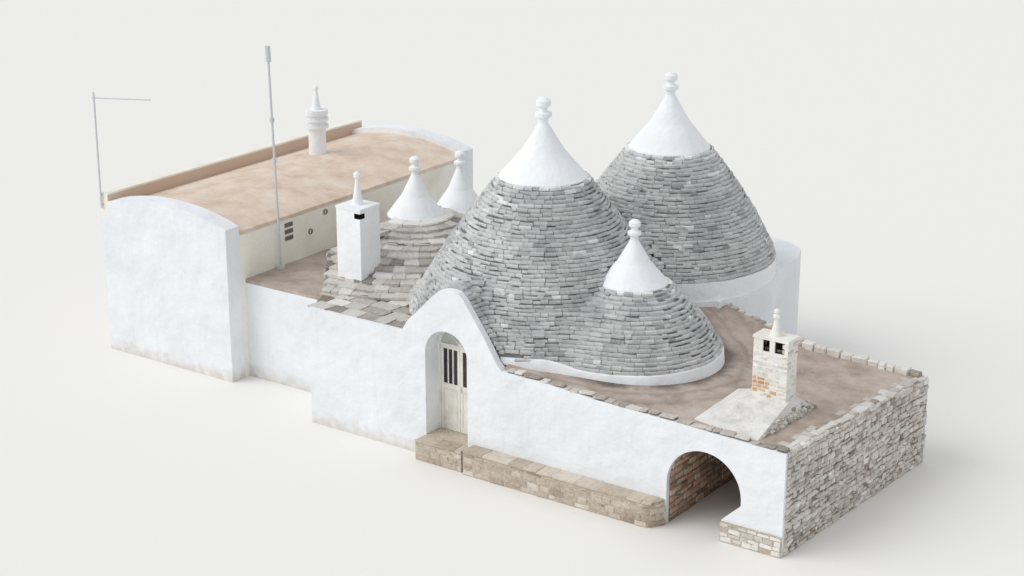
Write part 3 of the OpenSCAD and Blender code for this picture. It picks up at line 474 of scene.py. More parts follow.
# a stone laid at a point, facing along an angle in plan, its outer edge dipping, stretched to fit
def placeStone(at, facing, dip, roll, size):
    turn = Matrix.Rotation(facing - math.pi / 2, 4, "Z") @ Matrix.Rotation(-dip, 4, "X")
    turn = turn @ Matrix.Rotation(roll, 4, "Y")
    return Matrix.Translation(at) @ turn @ Matrix.Diagonal((*size, 1.0))


# all the stones of one piece joined as one mesh, each point carrying its stone's tint
def layStones(name, stones, finish, body=house):
    points, faces, tints = [], [], []
    for shape, place, tint in stones:
        start = len(points)
        points.extend([place @ p for p in shape["points"]])
        faces.extend([tuple(start + i for i in f) for f in shape["faces"]])
        tints.extend([tint] * len(shape["points"]))
    mesh = bpy.data.meshes.new(name)
    mesh.from_pydata(points, [], faces)
    mesh.attributes.new("tint", "FLOAT", "POINT").data.foreach_set("value", tints)
    mesh.materials.append(finishes[finish])
    piece = bpy.data.objects.new(name, mesh)
    bpy.context.scene.collection.objects.link(piece)
    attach(piece, body)
    print(name, len(stones), "stones")


# a stone's tone: most near the middle, a few nearly white and a few dark
def stoneTint(dice, middle=0.5, spread=0.15):
    pick = dice.random()
    if pick > 0.98:
        return dice.uniform(0.85, 1.0)
    if pick < 0.03:
        return dice.uniform(0.05, 0.25)
    return min(0.95, max(0.05, dice.gauss(middle, spread)))


# roofs: sizes in metres, as in the part's source
cones = {
    "main": {"x": 0.0, "y": 0.0, "foot": 3.27, "springing": 2.78, "capRadius": 1.02, "capFoot": 6.18,
             "neck": 7.47, "swell": 0.130, "foundation": 2.60},
    "side": {"x": 2.73, "y": -0.29, "foot": 2.05, "springing": 2.61, "capRadius": 0.77, "capFoot": 4.14,
             "neck": 5.17, "swell": 0.110, "foundation": 2.60},
    "back": {"x": 0.96, "y": 4.19, "foot": 2.72, "springing": 3.46, "capRadius": 0.99, "capFoot": 6.18,
             "neck": 7.52, "swell": 0.140, "foundation": 3.45},
}
twins = {"x": -4.85, "front": 1.26, "rear": 3.18, "frontApex": 4.451, "rearApex": 4.171, "fall": 0.43,
         "frontCap": 0.70, "rearCap": 0.63, "hip": 0.55, "eaves": 3.0, "west": -6.75, "north": 4.90,
         "edge": 2.94}
# front face of the walls, and the end and back of the lower block
frontY = -3.39
endX = 8.69
backY = 3.0
# plan of the slab roof on the left, and outline of the gable from left to right
leftPlan = [(-4.5, -3.27), (-1.65, -3.27), (-1.65, 2.6), (-1.94, 2.6), (-1.94, 4.9), (-6.75, 4.9),
            (-6.75, 1.61), (-6.45, -0.29), (-4.9, -2.39)]
gableLine = [(-1.65, 2.965), (-1.44, 3.27), (-1.11, 3.59), (-0.70, 4.0), (-0.50, 4.155), (-0.32, 4.205),
             (-0.14, 4.215), (0.02, 4.18), (0.17, 4.04), (0.33, 3.81), (0.71, 3.29), (0.90, 3.0),
             (1.06, 2.74), (1.22, 2.57)]
# roof of the lower block: a deck falling to the right and to the back, and a hump up to the rear cone
saddle = {"right": 8.35, "low": 2.33, "fall": 0.035, "fallBack": 0.036, "humpX": 5.5, "humpY": 3.0,
          "humpLow": 2.30, "humpRise": 0.27, "humpBack": 0.13, "top": 2.935}
# little roof behind the gable: how far it is sunk below the gable, the gable's left end, the level from
# which it has a left side, how far back it and its slabs go, and how far they spread to both sides
littleRoof = {"sunk": 0.05, "left": -1.65, "leftFrom": 2.93, "ends": -1.2, "slabsEnd": -1.3, "beside": 0.45}
# how wide the hollows between the roofs are filled, growing from least to all over a height
hollows = {"side": 0.75, "back": 0.6, "gable": 0.35, "least": 0.04, "over": 0.5}
# courses of thin slabs; their rise is as drawn, since the real ones, perhaps 50 to 70 mm, are too fine to
# show. Probe is the step for taking slopes, farthest how far past its cone a ray may look for the outline,
# and gable how far it may go towards the gable
courseSpec = {"first": 2.61, "rise": 0.085, "joint": 0.006, "lift": 0.010, "gap": 0.002, "tint": 0.085,
              "probe": 0.02, "farthest": 1.7, "gable": 3.35}


# radius of a cone's surface at a level, and above it of its cap
def coneRadius(cone, z):
    if z >= cone["capFoot"]:
        part = (z - cone["capFoot"]) / (cone["neck"] - cone["capFoot"])
        return cone["capRadius"] * max(0.15, 1 - part)
    t = max(0.0, (z - cone["springing"]) / (cone["capFoot"] - cone["springing"]))
    return cone["foot"] + (cone["capRadius"] - cone["foot"]) * t + 4 * cone["swell"] * t * (1 - t)


# whether a point is inside a cone, deeper than a cover
def underCone(name, x, y, z, cover):
    cone = cones[name]
    if z > cone["neck"]:
        return False
    if name == "back" and z < 3.0:
        return False
    return math.hypot(x - cone["x"], y - cone["y"]) < coneRadius(cone, z) - cover


# height of the slab roof on the left at a point in plan
def leftRoof(x, y):
    front = twins["frontApex"] - twins["fall"] * math.hypot(x - twins["x"], y - twins["front"])
    rear = twins["rearApex"] - twins["fall"] * math.hypot(x - twins["x"], y - twins["rear"])
    west = twins["eaves"] + twins["hip"] * (x - twins["west"])
    north = twins["eaves"] - twins["hip"] * (y - twins["north"])
    return min(max(front, rear), west, north)


# whether a point is inside a plan, with a margin to its edges
def insidePlan(plan, x, y, margin):
    inside = False
    for (ax, ay), (bx, by) in zip(plan, plan[1:] + plan[:1]):
        if (ay > y) != (by > y) and x < (bx - ax) * (y - ay) / (by - ay) + ax:
            inside = not inside
        across = ((bx - ax) ** 2 + (by - ay) ** 2)
        t = max(0.0, min(1.0, ((x - ax) * (bx - ax) + (y - ay) * (by - ay)) / across))
        if math.hypot(x - ax - t * (bx - ax), y - ay - t * (by - ay)) < margin:
            return False
    return inside


# height of a line of points at a place along it
def lineTop(line, x, beyond):
    for (ax, az), (bx, bz) in zip(line, line[1:]):
        if ax <= x <= bx:
            return az + (bz - az) * (x - ax) / (bx - ax)
    return beyond


# left and right edge of the gable's outline at a level, None where it has none
def gableSides(z):
    line = list(zip(gableLine, gableLine[1:]))
    left = next((ax + (bx - ax) * (z - az) / (bz - az) for (ax, az), (bx, bz) in line if az <= z < bz), None)
    right = next((ax + (bx - ax) * (z - az) / (bz - az) for (ax, az), (bx, bz) in line if az > z >= bz), None)
    return left, right


# height of the roof of the lower block at a point in plan
def saddleTop(x, y):
    deck = saddle["low"] + saddle["fall"] * (saddle["right"] - x) - saddle["fallBack"] * (y - frontY)
    hump = saddle["humpLow"] + saddle["humpRise"] * (saddle["humpX"] - x)
    hump -= saddle["humpBack"] * (saddle["humpY"] - y)
    return max(deck, min(hump, saddle["top"]))


# the lesser of two distances, rounded off where they come near each other
def softened(a, b, soft):
    near = max(soft - abs(a - b), 0.0)
    return min(a, b) - near * near / (4 * soft)


# halves the gap between near, where a test holds, and far, where it fails
def narrowed(test, near, far, steps):
    for step in range(steps):
        middle = (near + far) / 2
        if test(middle):
            near = middle
        else:
            far = middle
    return near


# how far a point in plan is outside the roofs at a level, with the hollows between them filled by the slabs
def outsideRoofs(x, y, z):
    reach = {name: math.hypot(x - cone["x"], y - cone["y"]) - coneRadius(cone, z)
             for name, cone in cones.items() if cone["foundation"] < z < cone["capFoot"]}
    result = reach.get("main", 9.0)
    room = {"side": cones["side"]["capFoot"] - z, "back": z - cones["back"]["springing"]}
    for name in ("side", "back"):
        if name in reach:
            fill = hollows[name] * min(1.0, max(hollows["least"], room[name] / hollows["over"]))
            result = softened(result, reach[name], fill)
    left, right = gableSides(z + littleRoof["sunk"])
    if right is not None and y < littleRoof["ends"]:
        edge = x - right if z < littleRoof["leftFrom"] or left is None else max(x - right, left - x)
        result = softened(result, edge, hollows["gable"])
    return result


# the way straight out of the roofs at a point in plan
def slopeAt(x, y, z):
    step = courseSpec["probe"]
    return Vector((outsideRoofs(x + step, y, z) - outsideRoofs(x - step, y, z),
                   outsideRoofs(x, y + step, z) - outsideRoofs(x, y - step, z))).normalized()


# whether a slab on a cone is buried in the gable, the slab roof, the terrace or the screed
def buriedOn(name, x, y, z):
    inScreed = z < saddleTop(x, y) - 0.12
    if name != "main":
        return name == "side" and inScreed
    inGable = y < -3.215
    inLeftRoof = x < 0 and y < twins["north"] and z < leftRoof(x, y) - 0.10
    inTerrace = z < 2.90 and y > 2.5 and x < 3.4
    return inGable or inLeftRoof or inTerrace or (x > 1.3 and inScreed)


# slabs right beside the little roof behind the gable belong to its own courses
def besideGable(x, y, z):
    left, right = gableSides(z + littleRoof["sunk"])
    if right is None or y >= littleRoof["slabsEnd"]:
        return False
    left = littleRoof["left"] if left is None else left
    return left - littleRoof["beside"] < x < right + littleRoof["beside"]


# whether another cone's courses or cap take a point that lies a distance outside its own cone
def takenByOther(name, x, y, z, own):
    for other, cone in cones.items():
        if other == name:
            continue
        apart = math.hypot(x - cone["x"], y - cone["y"])
        if cone["springing"] - 0.01 < z < cone["capFoot"] and own > 0.20 + apart - coneRadius(cone, z):
            return True
        if z >= cone["capFoot"] and underCone(other, x, y, z, 0.0):
            return True
    return False


# distance from a cone's centre to the outside of the roofs along a way in plan, None where it is too far
def rayReach(name, ahead, radius, z):
    cone = cones[name]
    limit = radius + courseSpec["farthest"]
    if name == "main" and ahead.y < 0:
        limit = min(limit, courseSpec["gable"] / -ahead.y)

    def inside(reach):
        return outsideRoofs(cone["x"] + reach * ahead.x, cone["y"] + reach * ahead.y, z) < 0

    near, far = radius - 0.02, radius + 0.04
    while far < limit and inside(far):
        near, far = far, far + 0.06
    return None if far >= limit else narrowed(inside, near, far, 8)


# slow drift of the slabs' tone, a metre or two across
def toneDrift(x, y, z):
    return 0.09 * math.sin(1.3 * x + 2.6 * z + 1.0) * math.cos(1.2 * y - 2.1 * z)


# ring after ring of slabs up a cone; all the cones share the levels of their courses, so a course runs on
# from one to the next round the filled hollow between them
def coneCourses(name, spec):
    cone = cones[name]
    dice = random.Random(spec["seed"])
    stones = []
    count = round((cone["capFoot"] - cone["springing"]) / courseSpec["rise"])
    phase = dice.uniform(0, 6)
    for level in range(count):
        z = cone["springing"] + level * courseSpec["rise"]
        radius = coneRadius(cone, z)
        number = max(12, round(2 * math.pi * radius / spec["length"]))
        widths = [dice.uniform(0.55, 1.5) for k in range(number)]
        whole = sum(widths)
        angle = dice.uniform(0, 2 * math.pi)
        phase += dice.uniform(-0.5, 0.5)
        # now and then a course stands out, with a wider dark joint under it
        out = random.Random(round(z * 1000)).choice((0.0, 0.0, 0.004, 0.014))
        for width in widths:
            turn = 2 * math.pi * width / whole
            mid = angle + turn / 2
            angle += turn
            ahead = Vector((math.cos(mid), math.sin(mid)))
            near = rayReach(name, ahead, radius, z)
            if near is None:
                continue
            x, y = cone["x"] + near * ahead.x, cone["y"] + near * ahead.y
            if takenByOther(name, x, y, z, near - radius):
                continue
            if besideGable(x, y, z) or buriedOn(name, x, y, z + 0.04):
                continue
            slope = slopeAt(x, y, z)
            proud = dice.uniform(spec["proud"][0], spec["proud"][1]) + out
            wave = 0.007 * math.sin(3 * mid + phase) + dice.uniform(-0.004, 0.004)
            shape = dice.choice(slabKinds)
            length = turn * near / max(0.35, slope.dot(ahead)) - courseSpec["gap"]
            high = courseSpec["rise"] - courseSpec["joint"] - 0.4 * out
            size = (length / shape["length"], dice.uniform(0.9, 1.1),
                    high * dice.uniform(0.90, 1.06) / shape["height"])
            # painted light: the main cone's slabs are painted paler on its left and darker on its right, as
            # if lit from the left
            paintedLeftLight = spec["paintedLeftLight"] * (-x / 3.0)
            tint = stoneTint(dice, 0.5 + toneDrift(x, y, z) + paintedLeftLight + 2 * out, courseSpec["tint"])
            # limewash run down from the cap over the top courses
            if count - level <= 2 and dice.random() < (0.6, 0.2)[count - level - 1]:
                tint = dice.uniform(0.85, 1.15)
            bed = z + courseSpec["lift"] + 0.4 * out + wave
            place = placeStone((x + proud * slope.x, y + proud * slope.y, bed),
                               math.atan2(slope.y, slope.x) + dice.gauss(0, 0.035),
                               spec["dip"] + dice.gauss(0, 0.03), dice.gauss(0, 0.022), size)
            stones.append((shape, place, tint))
    return stones


# extra slabs in the throat between two cones, at the levels where the rays from their centres only graze it
throatSpec = {"reach": 0.9, "step": 0.015, "spin": 0.1, "spins": 14, "apart": 0.15, "length": (0.17, 0.24),
              "deep": 1.3, "proud": (0.004, 0.02), "dip": 0.10}


def throatCourses(first, second, seed):
    spec = throatSpec
    dice = random.Random(seed)
    a, b = cones[first], cones[second]
    apart = math.hypot(b["x"] - a["x"], b["y"] - a["y"])
    ahead = Vector(((b["x"] - a["x"]) / apart, (b["y"] - a["y"]) / apart))
    stones = []
    for level in range(60):
        z = courseSpec["first"] + level * courseSpec["rise"]
        if not max(a["springing"], b["springing"]) < z < min(a["capFoot"], b["capFoot"]):
            continue
        along = (apart + coneRadius(a, z) - coneRadius(b, z)) / 2
        mx, my = a["x"] + along * ahead.x, a["y"] + along * ahead.y
        if outsideRoofs(mx, my, z) > -0.01:
            continue
        for side in (-1, 1):
            last = None
            for spin in range(-spec["spins"], spec["spins"] + 1):
                angle = math.atan2(ahead.y, ahead.x) + side * math.pi / 2 + spin * spec["spin"]
                way = Vector((math.cos(angle), math.sin(angle)))
                reach = 0.02
                while reach < spec["reach"] and outsideRoofs(mx + reach * way.x, my + reach * way.y, z) < 0:
                    reach += spec["step"]
                x, y = mx + reach * way.x, my + reach * way.y
                if reach >= spec["reach"] or (last and math.hypot(x - last[0], y - last[1]) < spec["apart"]):
                    continue
                last = (x, y)
                slope = slopeAt(x, y, z)
                proud = dice.uniform(*spec["proud"])
                shape = dice.choice(slabKinds)
                size = (dice.uniform(*spec["length"]) / shape["length"], spec["deep"],
                        (courseSpec["rise"] - courseSpec["joint"]) / shape["height"])
                place = placeStone((x + proud * slope.x, y + proud * slope.y, z + courseSpec["lift"]),
                                   math.atan2(slope.y, slope.x), spec["dip"], dice.gauss(0, 0.02), size)
                stones.append((shape, place, stoneTint(dice, 0.5, courseSpec["tint"])))
    return stones


# the same courses on the two sides of the little roof behind the gable, each walked from the back of the
# gable along its line until the cone's own slabs take over
walkSpec = {"seed": 203, "levels": 20, "lowest": 2.77, "start": -3.20, "past": 0.78, "step": 0.01,
            "first": (0.08, 0.24), "length": (0.12, 0.34), "proud": (0.006, 0.028), "dip": 0.10}


def dormerCourses(spec):
    dice = random.Random(spec["seed"])
    stones = []
    for level in range(1, spec["levels"] + 1):
        z = courseSpec["first"] + level * courseSpec["rise"]
        for side, edge in zip((-1, 1), gableSides(z + littleRoof["sunk"])):
            if edge is None or z < spec["lowest"]:
                continue
            x, y = edge, spec["start"]
            for step in range(12):
                x -= side * 0.8 * outsideRoofs(x, y, z)
            if abs(outsideRoofs(x, y, z)) > 0.02:
                continue
            wanted, path = dice.uniform(*spec["first"]), [(x, y)]
            while side * (x - edge) < spec["past"] and y < littleRoof["slabsEnd"]:
                slope = slopeAt(x, y, z)
                x, y = x - side * spec["step"] * slope.y, y + side * spec["step"] * slope.x
                miss = outsideRoofs(x, y, z)
                x, y = x - miss * slope.x, y - miss * slope.y
                path.append((x, y))
                if (len(path) - 1) * spec["step"] < wanted:
                    continue
                cx, cy = path[len(path) // 2]
                shape = dice.choice(slabKinds)
                high = courseSpec["rise"] - courseSpec["joint"]
                size = ((wanted - courseSpec["gap"]) / shape["length"], dice.uniform(0.9, 1.1),
                        high * dice.uniform(0.90, 1.06) / shape["height"])
                underSlabRoof = cx < 0 and z < leftRoof(cx, cy) - 0.06
                overFootBand = z < 2.82 and math.hypot(cx, cy) > 3.26
                if not underSlabRoof and not overFootBand:
                    proud = dice.uniform(*spec["proud"])
                    bed = z + courseSpec["lift"] + dice.uniform(-0.004, 0.004)
                    place = placeStone((cx + proud * slope.x, cy + proud * slope.y, bed),
                                       math.atan2(slope.y, slope.x) + dice.gauss(0, 0.03),
                                       spec["dip"] + dice.gauss(0, 0.03), dice.gauss(0, 0.02), size)
                    tint = stoneTint(dice, 0.5 + toneDrift(cx, cy, z), courseSpec["tint"])
                    stones.append((shape, place, tint))
                wanted, path = dice.uniform(*spec["length"]), [(x, y)]
    return stones


# the last value paints the main cone's slabs paler on the main cone's left and darker on its right, as
# painted light from the left
mainSpec = {"seed": 3, "length": 0.235, "proud": (0.006, 0.028), "dip": 0.10, "paintedLeftLight": 0.18}
sideSpec = dict(mainSpec, seed=5, length=0.23, paintedLeftLight=0.0)
backSpec = dict(mainSpec, seed=8, length=0.24, paintedLeftLight=0.0)
throatSlabs = throatCourses("main", "back", 15) + throatCourses("main", "side", 16)
layStones("mainConeSlabs", coneCourses("main", mainSpec), "coneSlabs")
layStones("dormerSlabs", dormerCourses(walkSpec), "coneSlabs")
layStones("throatSlabs", throatSlabs, "coneSlabs")
layStones("sideConeSlabs", coneCourses("side", sideSpec), "coneSlabs")
layStones("backConeSlabs", coneCourses("back", backSpec), "coneSlabs")

# white band round the feet of the main cone and the small front cone in one sweep, its top falling from one
# to the other; it follows no single circle, so its points are worked out one by one
bandSpec = {"from": (2.0, -0.2), "start": -113, "end": 96, "step": 3, "mainFoot": 3.305, "sideFoot": 2.125,
            "mainTop": 2.80, "sideTop": 2.632, "soft": 0.8, "blend": 0.9, "batter": 0.03, "round": 0.03,
            "thick": 0.22, "sunk": 0.05}


def footBand(spec):
    points, faces = [], []
    side = cones["side"]
    for degrees in range(spec["start"], spec["end"] + 1, spec["step"]):
        a = math.radians(degrees)

        def feet(reach):
            x, y = spec["from"][0] + reach * math.cos(a), spec["from"][1] + reach * math.sin(a)
            return (x, y, math.hypot(x, y) - spec["mainFoot"],
                    math.hypot(x - side["x"], y - side["y"]) - spec["sideFoot"])

        reach = narrowed(lambda r: softened(*feet(r)[2:], spec["soft"]) < 0, 0.5, 6.0, 24)
        x, y, onMain, onSide = feet(reach)
        share = min(1.0, max(0.0, 0.5 + (onSide - onMain) / spec["blend"]))
        share = share * share * (3 - 2 * share)
        top = spec["sideTop"] + (spec["mainTop"] - spec["sideTop"]) * share
        pull = Vector((share * x + (1 - share) * (x - side["x"]), share * y + (1 - share) * (y - side["y"])))
        pull.normalize()
        foot = saddleTop(x, y) - spec["sunk"]
        for away, z in ((spec["batter"], foot), (0.0, top - spec["round"]),
                        (-0.35 * spec["round"], top - 0.3 * spec["round"]), (-spec["round"], top),
                        (-spec["thick"], top), (-spec["thick"], foot)):
            points.append((x + away * pull.x, y + away * pull.y, z))
    rows = len(points) // 6
    for row in range(rows - 1):
        for k in range(6):
            a, b = 6 * row + k, 6 * row + (k + 1) % 6
            faces.append((a, a + 6, b + 6, b))
    faces.append(tuple(range(6)))
    faces.append(tuple(6 * (rows - 1) + k for k in reversed(range(6))))
    mesh = bpy.data.meshes.new("footBand")
    mesh.from_pydata(points, [], faces)
    mesh.materials.append(finishes["capLimewash"])
    band = bpy.data.objects.new("footBand", mesh)
    bpy.context.scene.collection.objects.link(band)
    bpy.ops.object.select_all(action="DESELECT")
    band.select_set(True)
    bpy.context.view_layer.objects.active = band
    bpy.ops.object.mode_set(mode="EDIT")
    bpy.ops.mesh.select_all(action="SELECT")
    bpy.ops.mesh.normals_make_consistent(inside=False)
    bpy.ops.object.mode_set(mode="OBJECT")
    bpy.ops.object.shade_smooth_by_angle(angle=math.radians(50))
    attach(band, house)


footBand(bandSpec)
print("cones laid")

# broad slabs round the twin cones, in long wavy courses, with straight courses on the hips
twinSpec = {"seed": 12, "length": 0.40, "dip": 0.17, "proud": (0.0, 0.04),
            "levels": {"front": 12, "rear": 10}, "miss": 0.07, "chimney": ((-4.80, -4.30), (-1.65, -1.02))}
hipSpec = {"seed": 62, "levels": 10, "rise": 0.100, "width": (0.3, 0.65), "setBack": 0.03, "deep": 0.8,
           "sunk": 0.02, "westFrom": -1.9, "northTo": -1.94}


def twinCourses(which, spec):
    dice = random.Random(spec["seed"] + len(which))
    stones = []
    apex = twins[which + "Apex"]
    levels = spec["levels"][which]
    (chimneyLeft, chimneyRight), (chimneyFront, chimneyBack) = spec["chimney"]
    rise = (apex - twins["fall"] * twins[which + "Cap"] - twins["edge"]) / levels
    for level in range(levels):
        z = twins["edge"] + level * rise
        radius = (apex - z) / twins["fall"]
        count = max(9, round(2 * math.pi * radius / spec["length"]))
        widths = [dice.uniform(0.6, 1.4) for k in range(count)]
        whole = sum(widths)
        angle = dice.uniform(0, 6.28)
        for width in widths:
            turn = 2 * math.pi * width / whole
            mid = angle + turn / 2
            angle += turn
            proud = radius + dice.uniform(spec["proud"][0], spec["proud"][1])
            x = twins["x"] + proud * math.cos(mid)
            y = twins[which] + proud * math.sin(mid)
            if underCone("main", x, y, z + 0.05, 0.06) or abs(leftRoof(x, y) - z) > spec["miss"]:
                continue
            if not insidePlan(leftPlan, x, y, 0.01) or underCone("back", x, y, z + 0.05, 0.0):
                continue
            if chimneyLeft < x < chimneyRight and chimneyFront < y < chimneyBack:
                continue
            shape = dice.choice(broadKinds)
            size = ((turn * proud - 0.01) / shape["length"], dice.uniform(0.9, 1.1),
                    rise * dice.uniform(0.85, 1.0) / shape["height"])
            wave = dice.uniform(-0.008, 0.008)
            place = placeStone((x, y, z + 0.008 + wave), mid + dice.gauss(0, 0.06),
                               spec["dip"] + dice.gauss(0, 0.03), dice.gauss(0, 0.02), size)
            # the top course is white with limewash from the cap
            tint = dice.uniform(0.9, 1.2) if levels - level <= 1 else stoneTint(dice, 0.54, 0.12)
            stones.append((shape, place, tint))
    return stones


def hipCourses(spec):
    dice = random.Random(spec["seed"])
    stones = []
    for level in range(spec["levels"]):
        z = twins["eaves"] + level * spec["rise"]
        run = (z - twins["eaves"]) / twins["hip"]
        westX = twins["west"] + run + spec["setBack"]
        northY = twins["north"] - run - spec["setBack"]
        for facing, start, end in ((math.pi, (westX, spec["westFrom"]), (westX, twins["north"])),
                                   (math.pi / 2, (twins["west"], northY), (spec["northTo"], northY))):
            length = math.dist(start, end)
            spot = 0.0
            while spot < length:
                width = dice.uniform(*spec["width"])
                part = (spot + width / 2) / length
                x = start[0] + (end[0] - start[0]) * part
                y = start[1] + (end[1] - start[1]) * part
                spot += width
                if abs(leftRoof(x, y) - z) > twinSpec["miss"] or not insidePlan(leftPlan, x, y, 0.02):
                    continue
                if underCone("main", x, y, z, 0.05) or underCone("back", x, y, z + 0.1, -0.05):
                    continue
                shape = dice.choice(broadKinds)
                size = (width * 0.98 / shape["length"], spec["deep"], dice.uniform(0.85, 1.1))
                place = placeStone((x, y, z - spec["sunk"]), facing + dice.gauss(0, 0.04),
                                   twinSpec["dip"] + dice.gauss(0, 0.03), dice.gauss(0, 0.02), size)
                stones.append((shape, place, stoneTint(dice, 0.54, 0.12)))
    return stones


rearSlabs = twinCourses("rear", twinSpec) + hipCourses(hipSpec)
layStones("frontTwinSlabs", twinCourses("front", twinSpec), "roofSlabs")
layStones("rearTwinSlabs", rearSlabs, "roofSlabs")

# the ways that faces look and rows run
upward = Vector((0, 0, 1))
toFront = Vector((0, -1, 0))
toBack = Vector((0, 1, 0))
toRight = Vector((1, 0, 0))
toLeft = Vector((-1, 0, 0))


# a stone on a face: outward is the way it looks, up the way its rows climb
def placeOnFace(at, outward, up, roll, size):
    along = outward.cross(up)
    turn = Matrix((along, outward, up)).transposed().to_4x4()
    return Matrix.Translation(at) @ turn @ Matrix.Rotation(roll, 4, "Y") @ Matrix.Diagonal((*size, 1.0))


# rows of rubble over a face of a given length; top gives the height of the face at a distance along it,
# face the point, the outward way and the up way there
def rubbleRows(spec, length, highest, top, face):
    dice = random.Random(spec["seed"])
    stones = []
    v = 0.0
    loose = spec.get("loose", 0.0)
    while v < highest:
        rise = dice.uniform(*spec["rise"])
        phase = dice.uniform(-0.6, 0.6)
        u = 0.0
        while u < length - 0.02:
            width = min(dice.uniform(*spec["width"]), length - u)
            if length - u - width < 0.08:
                width = length - u
            mid = u + width / 2
            room = top(mid) - v
            u += width
            if room < 0.05:
                continue
            high = min(rise, room) if room < rise * 1.35 else rise
            if room - high < 0.05:
                high = room
            high *= dice.uniform(0.92, 1.0)
            shift = 0.25 * loose * math.sin(1.7 * mid + phase) + loose * dice.uniform(-0.1, 0.1)
            # the lowest row stays level, just clear of the ground
            point, outward, up = face(mid, v + (shift if v > 0 else 0.015))
            shape = dice.choice(rubbleKinds)
            size = ((width - 0.008) / shape["length"], 1.0, (high - 0.008) / shape["height"])
            proud = dice.uniform(*spec["proud"])
            roll = dice.gauss(0, 0.03 + loose if v > 0 else 0.02)
            place = placeOnFace(point + outward * proud, outward, up, roll, size)
            stones.append((shape, place, stoneTint(dice, spec["tint"], 0.17)))
        v += rise
    return stones


# the flat face of rows that starts at a point and runs along a way at right angles to outward
def flatFace(start, ahead, outward):
    return lambda u, v: (Vector(start) + ahead * u + upward * v, outward, upward)


endStart = Vector((8.352, -3.33, 0))
endRun = Vector((endX, backY, 0)) - endStart
endOut = Vector((endRun.y, -endRun.x, 0)).normalized()


def endTop(u):
    at = endStart + endRun * (u / endRun.length)
    return saddleTop(at.x, at.y) + 0.02


def backTop(u):
    return saddleTop(endX - u, backY) + 0.02


wallSpec = {"seed": 21, "rise": (0.07, 0.17), "width": (0.08, 0.28), "proud": (0.004, 0.05), "tint": 0.6,
            "loose": 0.09}
endStones = rubbleRows(wallSpec, endRun.length, 2.5, endTop, flatFace(endStart, endRun.normalized(), endOut))
backStones = rubbleRows(dict(wallSpec, seed=22), 5.25, 3.0, backTop,
                        flatFace((endX, backY, 0), toLeft, toBack))
layStones("endWallStones", endStones, "wallRubble")
layStones("backWallStones", backStones, "wallRubble")

# tunnel lining: jambs, barrel and end wall
tunnel = {"x": 6.46, "half": 0.90, "spring": 1.01, "front": -3.25, "back": 0.81, "depth": 4.03, "tall": 1.9}


# one face runs up the left jamb, over the barrel and down the right one
def vaultFace(u, v):
    y = tunnel["front"] + u
    half, spring = tunnel["half"], tunnel["spring"]
    arc = math.pi * half
    if v < spring:
        return Vector((tunnel["x"] - half, y, v)), toRight, upward
    if v < spring + arc:
        a = math.pi - (v - spring) / half
        return (Vector((tunnel["x"] + half * math.cos(a), y, spring + half * math.sin(a))),
                Vector((-math.cos(a), 0, -math.sin(a))), Vector((math.sin(a), 0, -math.cos(a))))
    return Vector((tunnel["x"] + half, y, 2 * spring + arc - v)), toLeft, -upward


def archTop(u):
    return tunnel["spring"] + math.sqrt(max(0.0, tunnel["half"] ** 2 - (u - tunnel["half"]) ** 2))


vaultSpec = {"seed": 25, "rise": (0.13, 0.21), "width": (0.18, 0.42), "proud": (0.0, 0.03), "tint": 0.5}
vaultLength = 2 * tunnel["spring"] + math.pi * tunnel["half"]
vaultStones = rubbleRows(vaultSpec, tunnel["depth"], vaultLength - 0.1, lambda u: vaultLength, vaultFace)
archFace = flatFace((tunnel["x"] + tunnel["half"], tunnel["back"], 0), toLeft, toFront)
vaultStones += rubbleRows(dict(vaultSpec, seed=26), 2 * tunnel["half"], tunnel["tall"], archTop, archFace)
layStones("tunnelStones", vaultStones, "vaultRubble")

# ledge, doorstep and plinth: face stones in two or three rows, under long top slabs on the ledge and the
# doorstep
ledge = {"left": 0.405, "right": 5.12, "front": -3.79, "round": 0.40, "top": 0.59, "rows": 0.545}
doorstep = {"left": -1.015, "right": 0.315, "front": -3.73, "top": 0.50, "rows": 0.44}
plinth = {"left": 6.91, "front": -3.44, "length": 1.44, "endFrom": -3.09, "end": 0.35, "rows": 0.455}


def ledgeFace(u, v):
    straight = ledge["right"] - ledge["left"]
    if u < straight:
        return Vector((ledge["left"] + u, ledge["front"], v)), toFront, upward
    a = -math.pi / 2 + (u - straight) / ledge["round"]
    around = Vector((math.cos(a), math.sin(a), 0))
    return Vector((ledge["right"], frontY, v)) + around * ledge["round"], around, upward


def topSlabs(seed, left, right, front, top):
    dice = random.Random(seed)
    stones = []
    x = left
    while x < right - 0.02:
        width = min(dice.uniform(0.35, 0.75), right - x)
        if right - x - width < 0.15:
            width = right - x
        shape = dice.choice(broadKinds)
        size = ((width - 0.008) / shape["length"], (frontY - front + 0.02) / shape["depth"],
                0.055 / shape["height"])
        at = Vector((x + width / 2, front - 0.02, top - 0.045 + dice.uniform(-0.004, 0.006)))
        place = placeOnFace(at, toFront, upward, dice.gauss(0, 0.008), size)
        stones.append((shape, place, stoneTint(dice, 0.62, 0.14)))
        x += width
    return stones


ledgeSpec = {"seed": 31, "rise": (0.13, 0.21), "width": (0.20, 0.50), "proud": (0.0, 0.022), "tint": 0.5}
ledgeLength = ledge["right"] - ledge["left"] + math.pi / 2 * ledge["round"]
ledgeStones = rubbleRows(ledgeSpec, ledgeLength, 0.53, lambda u: ledge["rows"], ledgeFace)
ledgeStones += rubbleRows(dict(ledgeSpec, seed=32), doorstep["right"] - doorstep["left"], 0.4,
                          lambda u: doorstep["rows"],
                          flatFace((doorstep["left"], doorstep["front"], 0), toRight, toFront))
ledgeStones += topSlabs(34, ledge["left"], ledge["right"] + 0.30, ledge["front"], ledge["top"])
ledgeStones += topSlabs(35, doorstep["left"], doorstep["right"], doorstep["front"], doorstep["top"])
layStones("ledgeStones", ledgeStones, "ledgeStone")
plinthSpec = {"seed": 33, "rise": (0.10, 0.17), "width": (0.12, 0.34), "proud": (0.0, 0.02), "tint": 0.55}
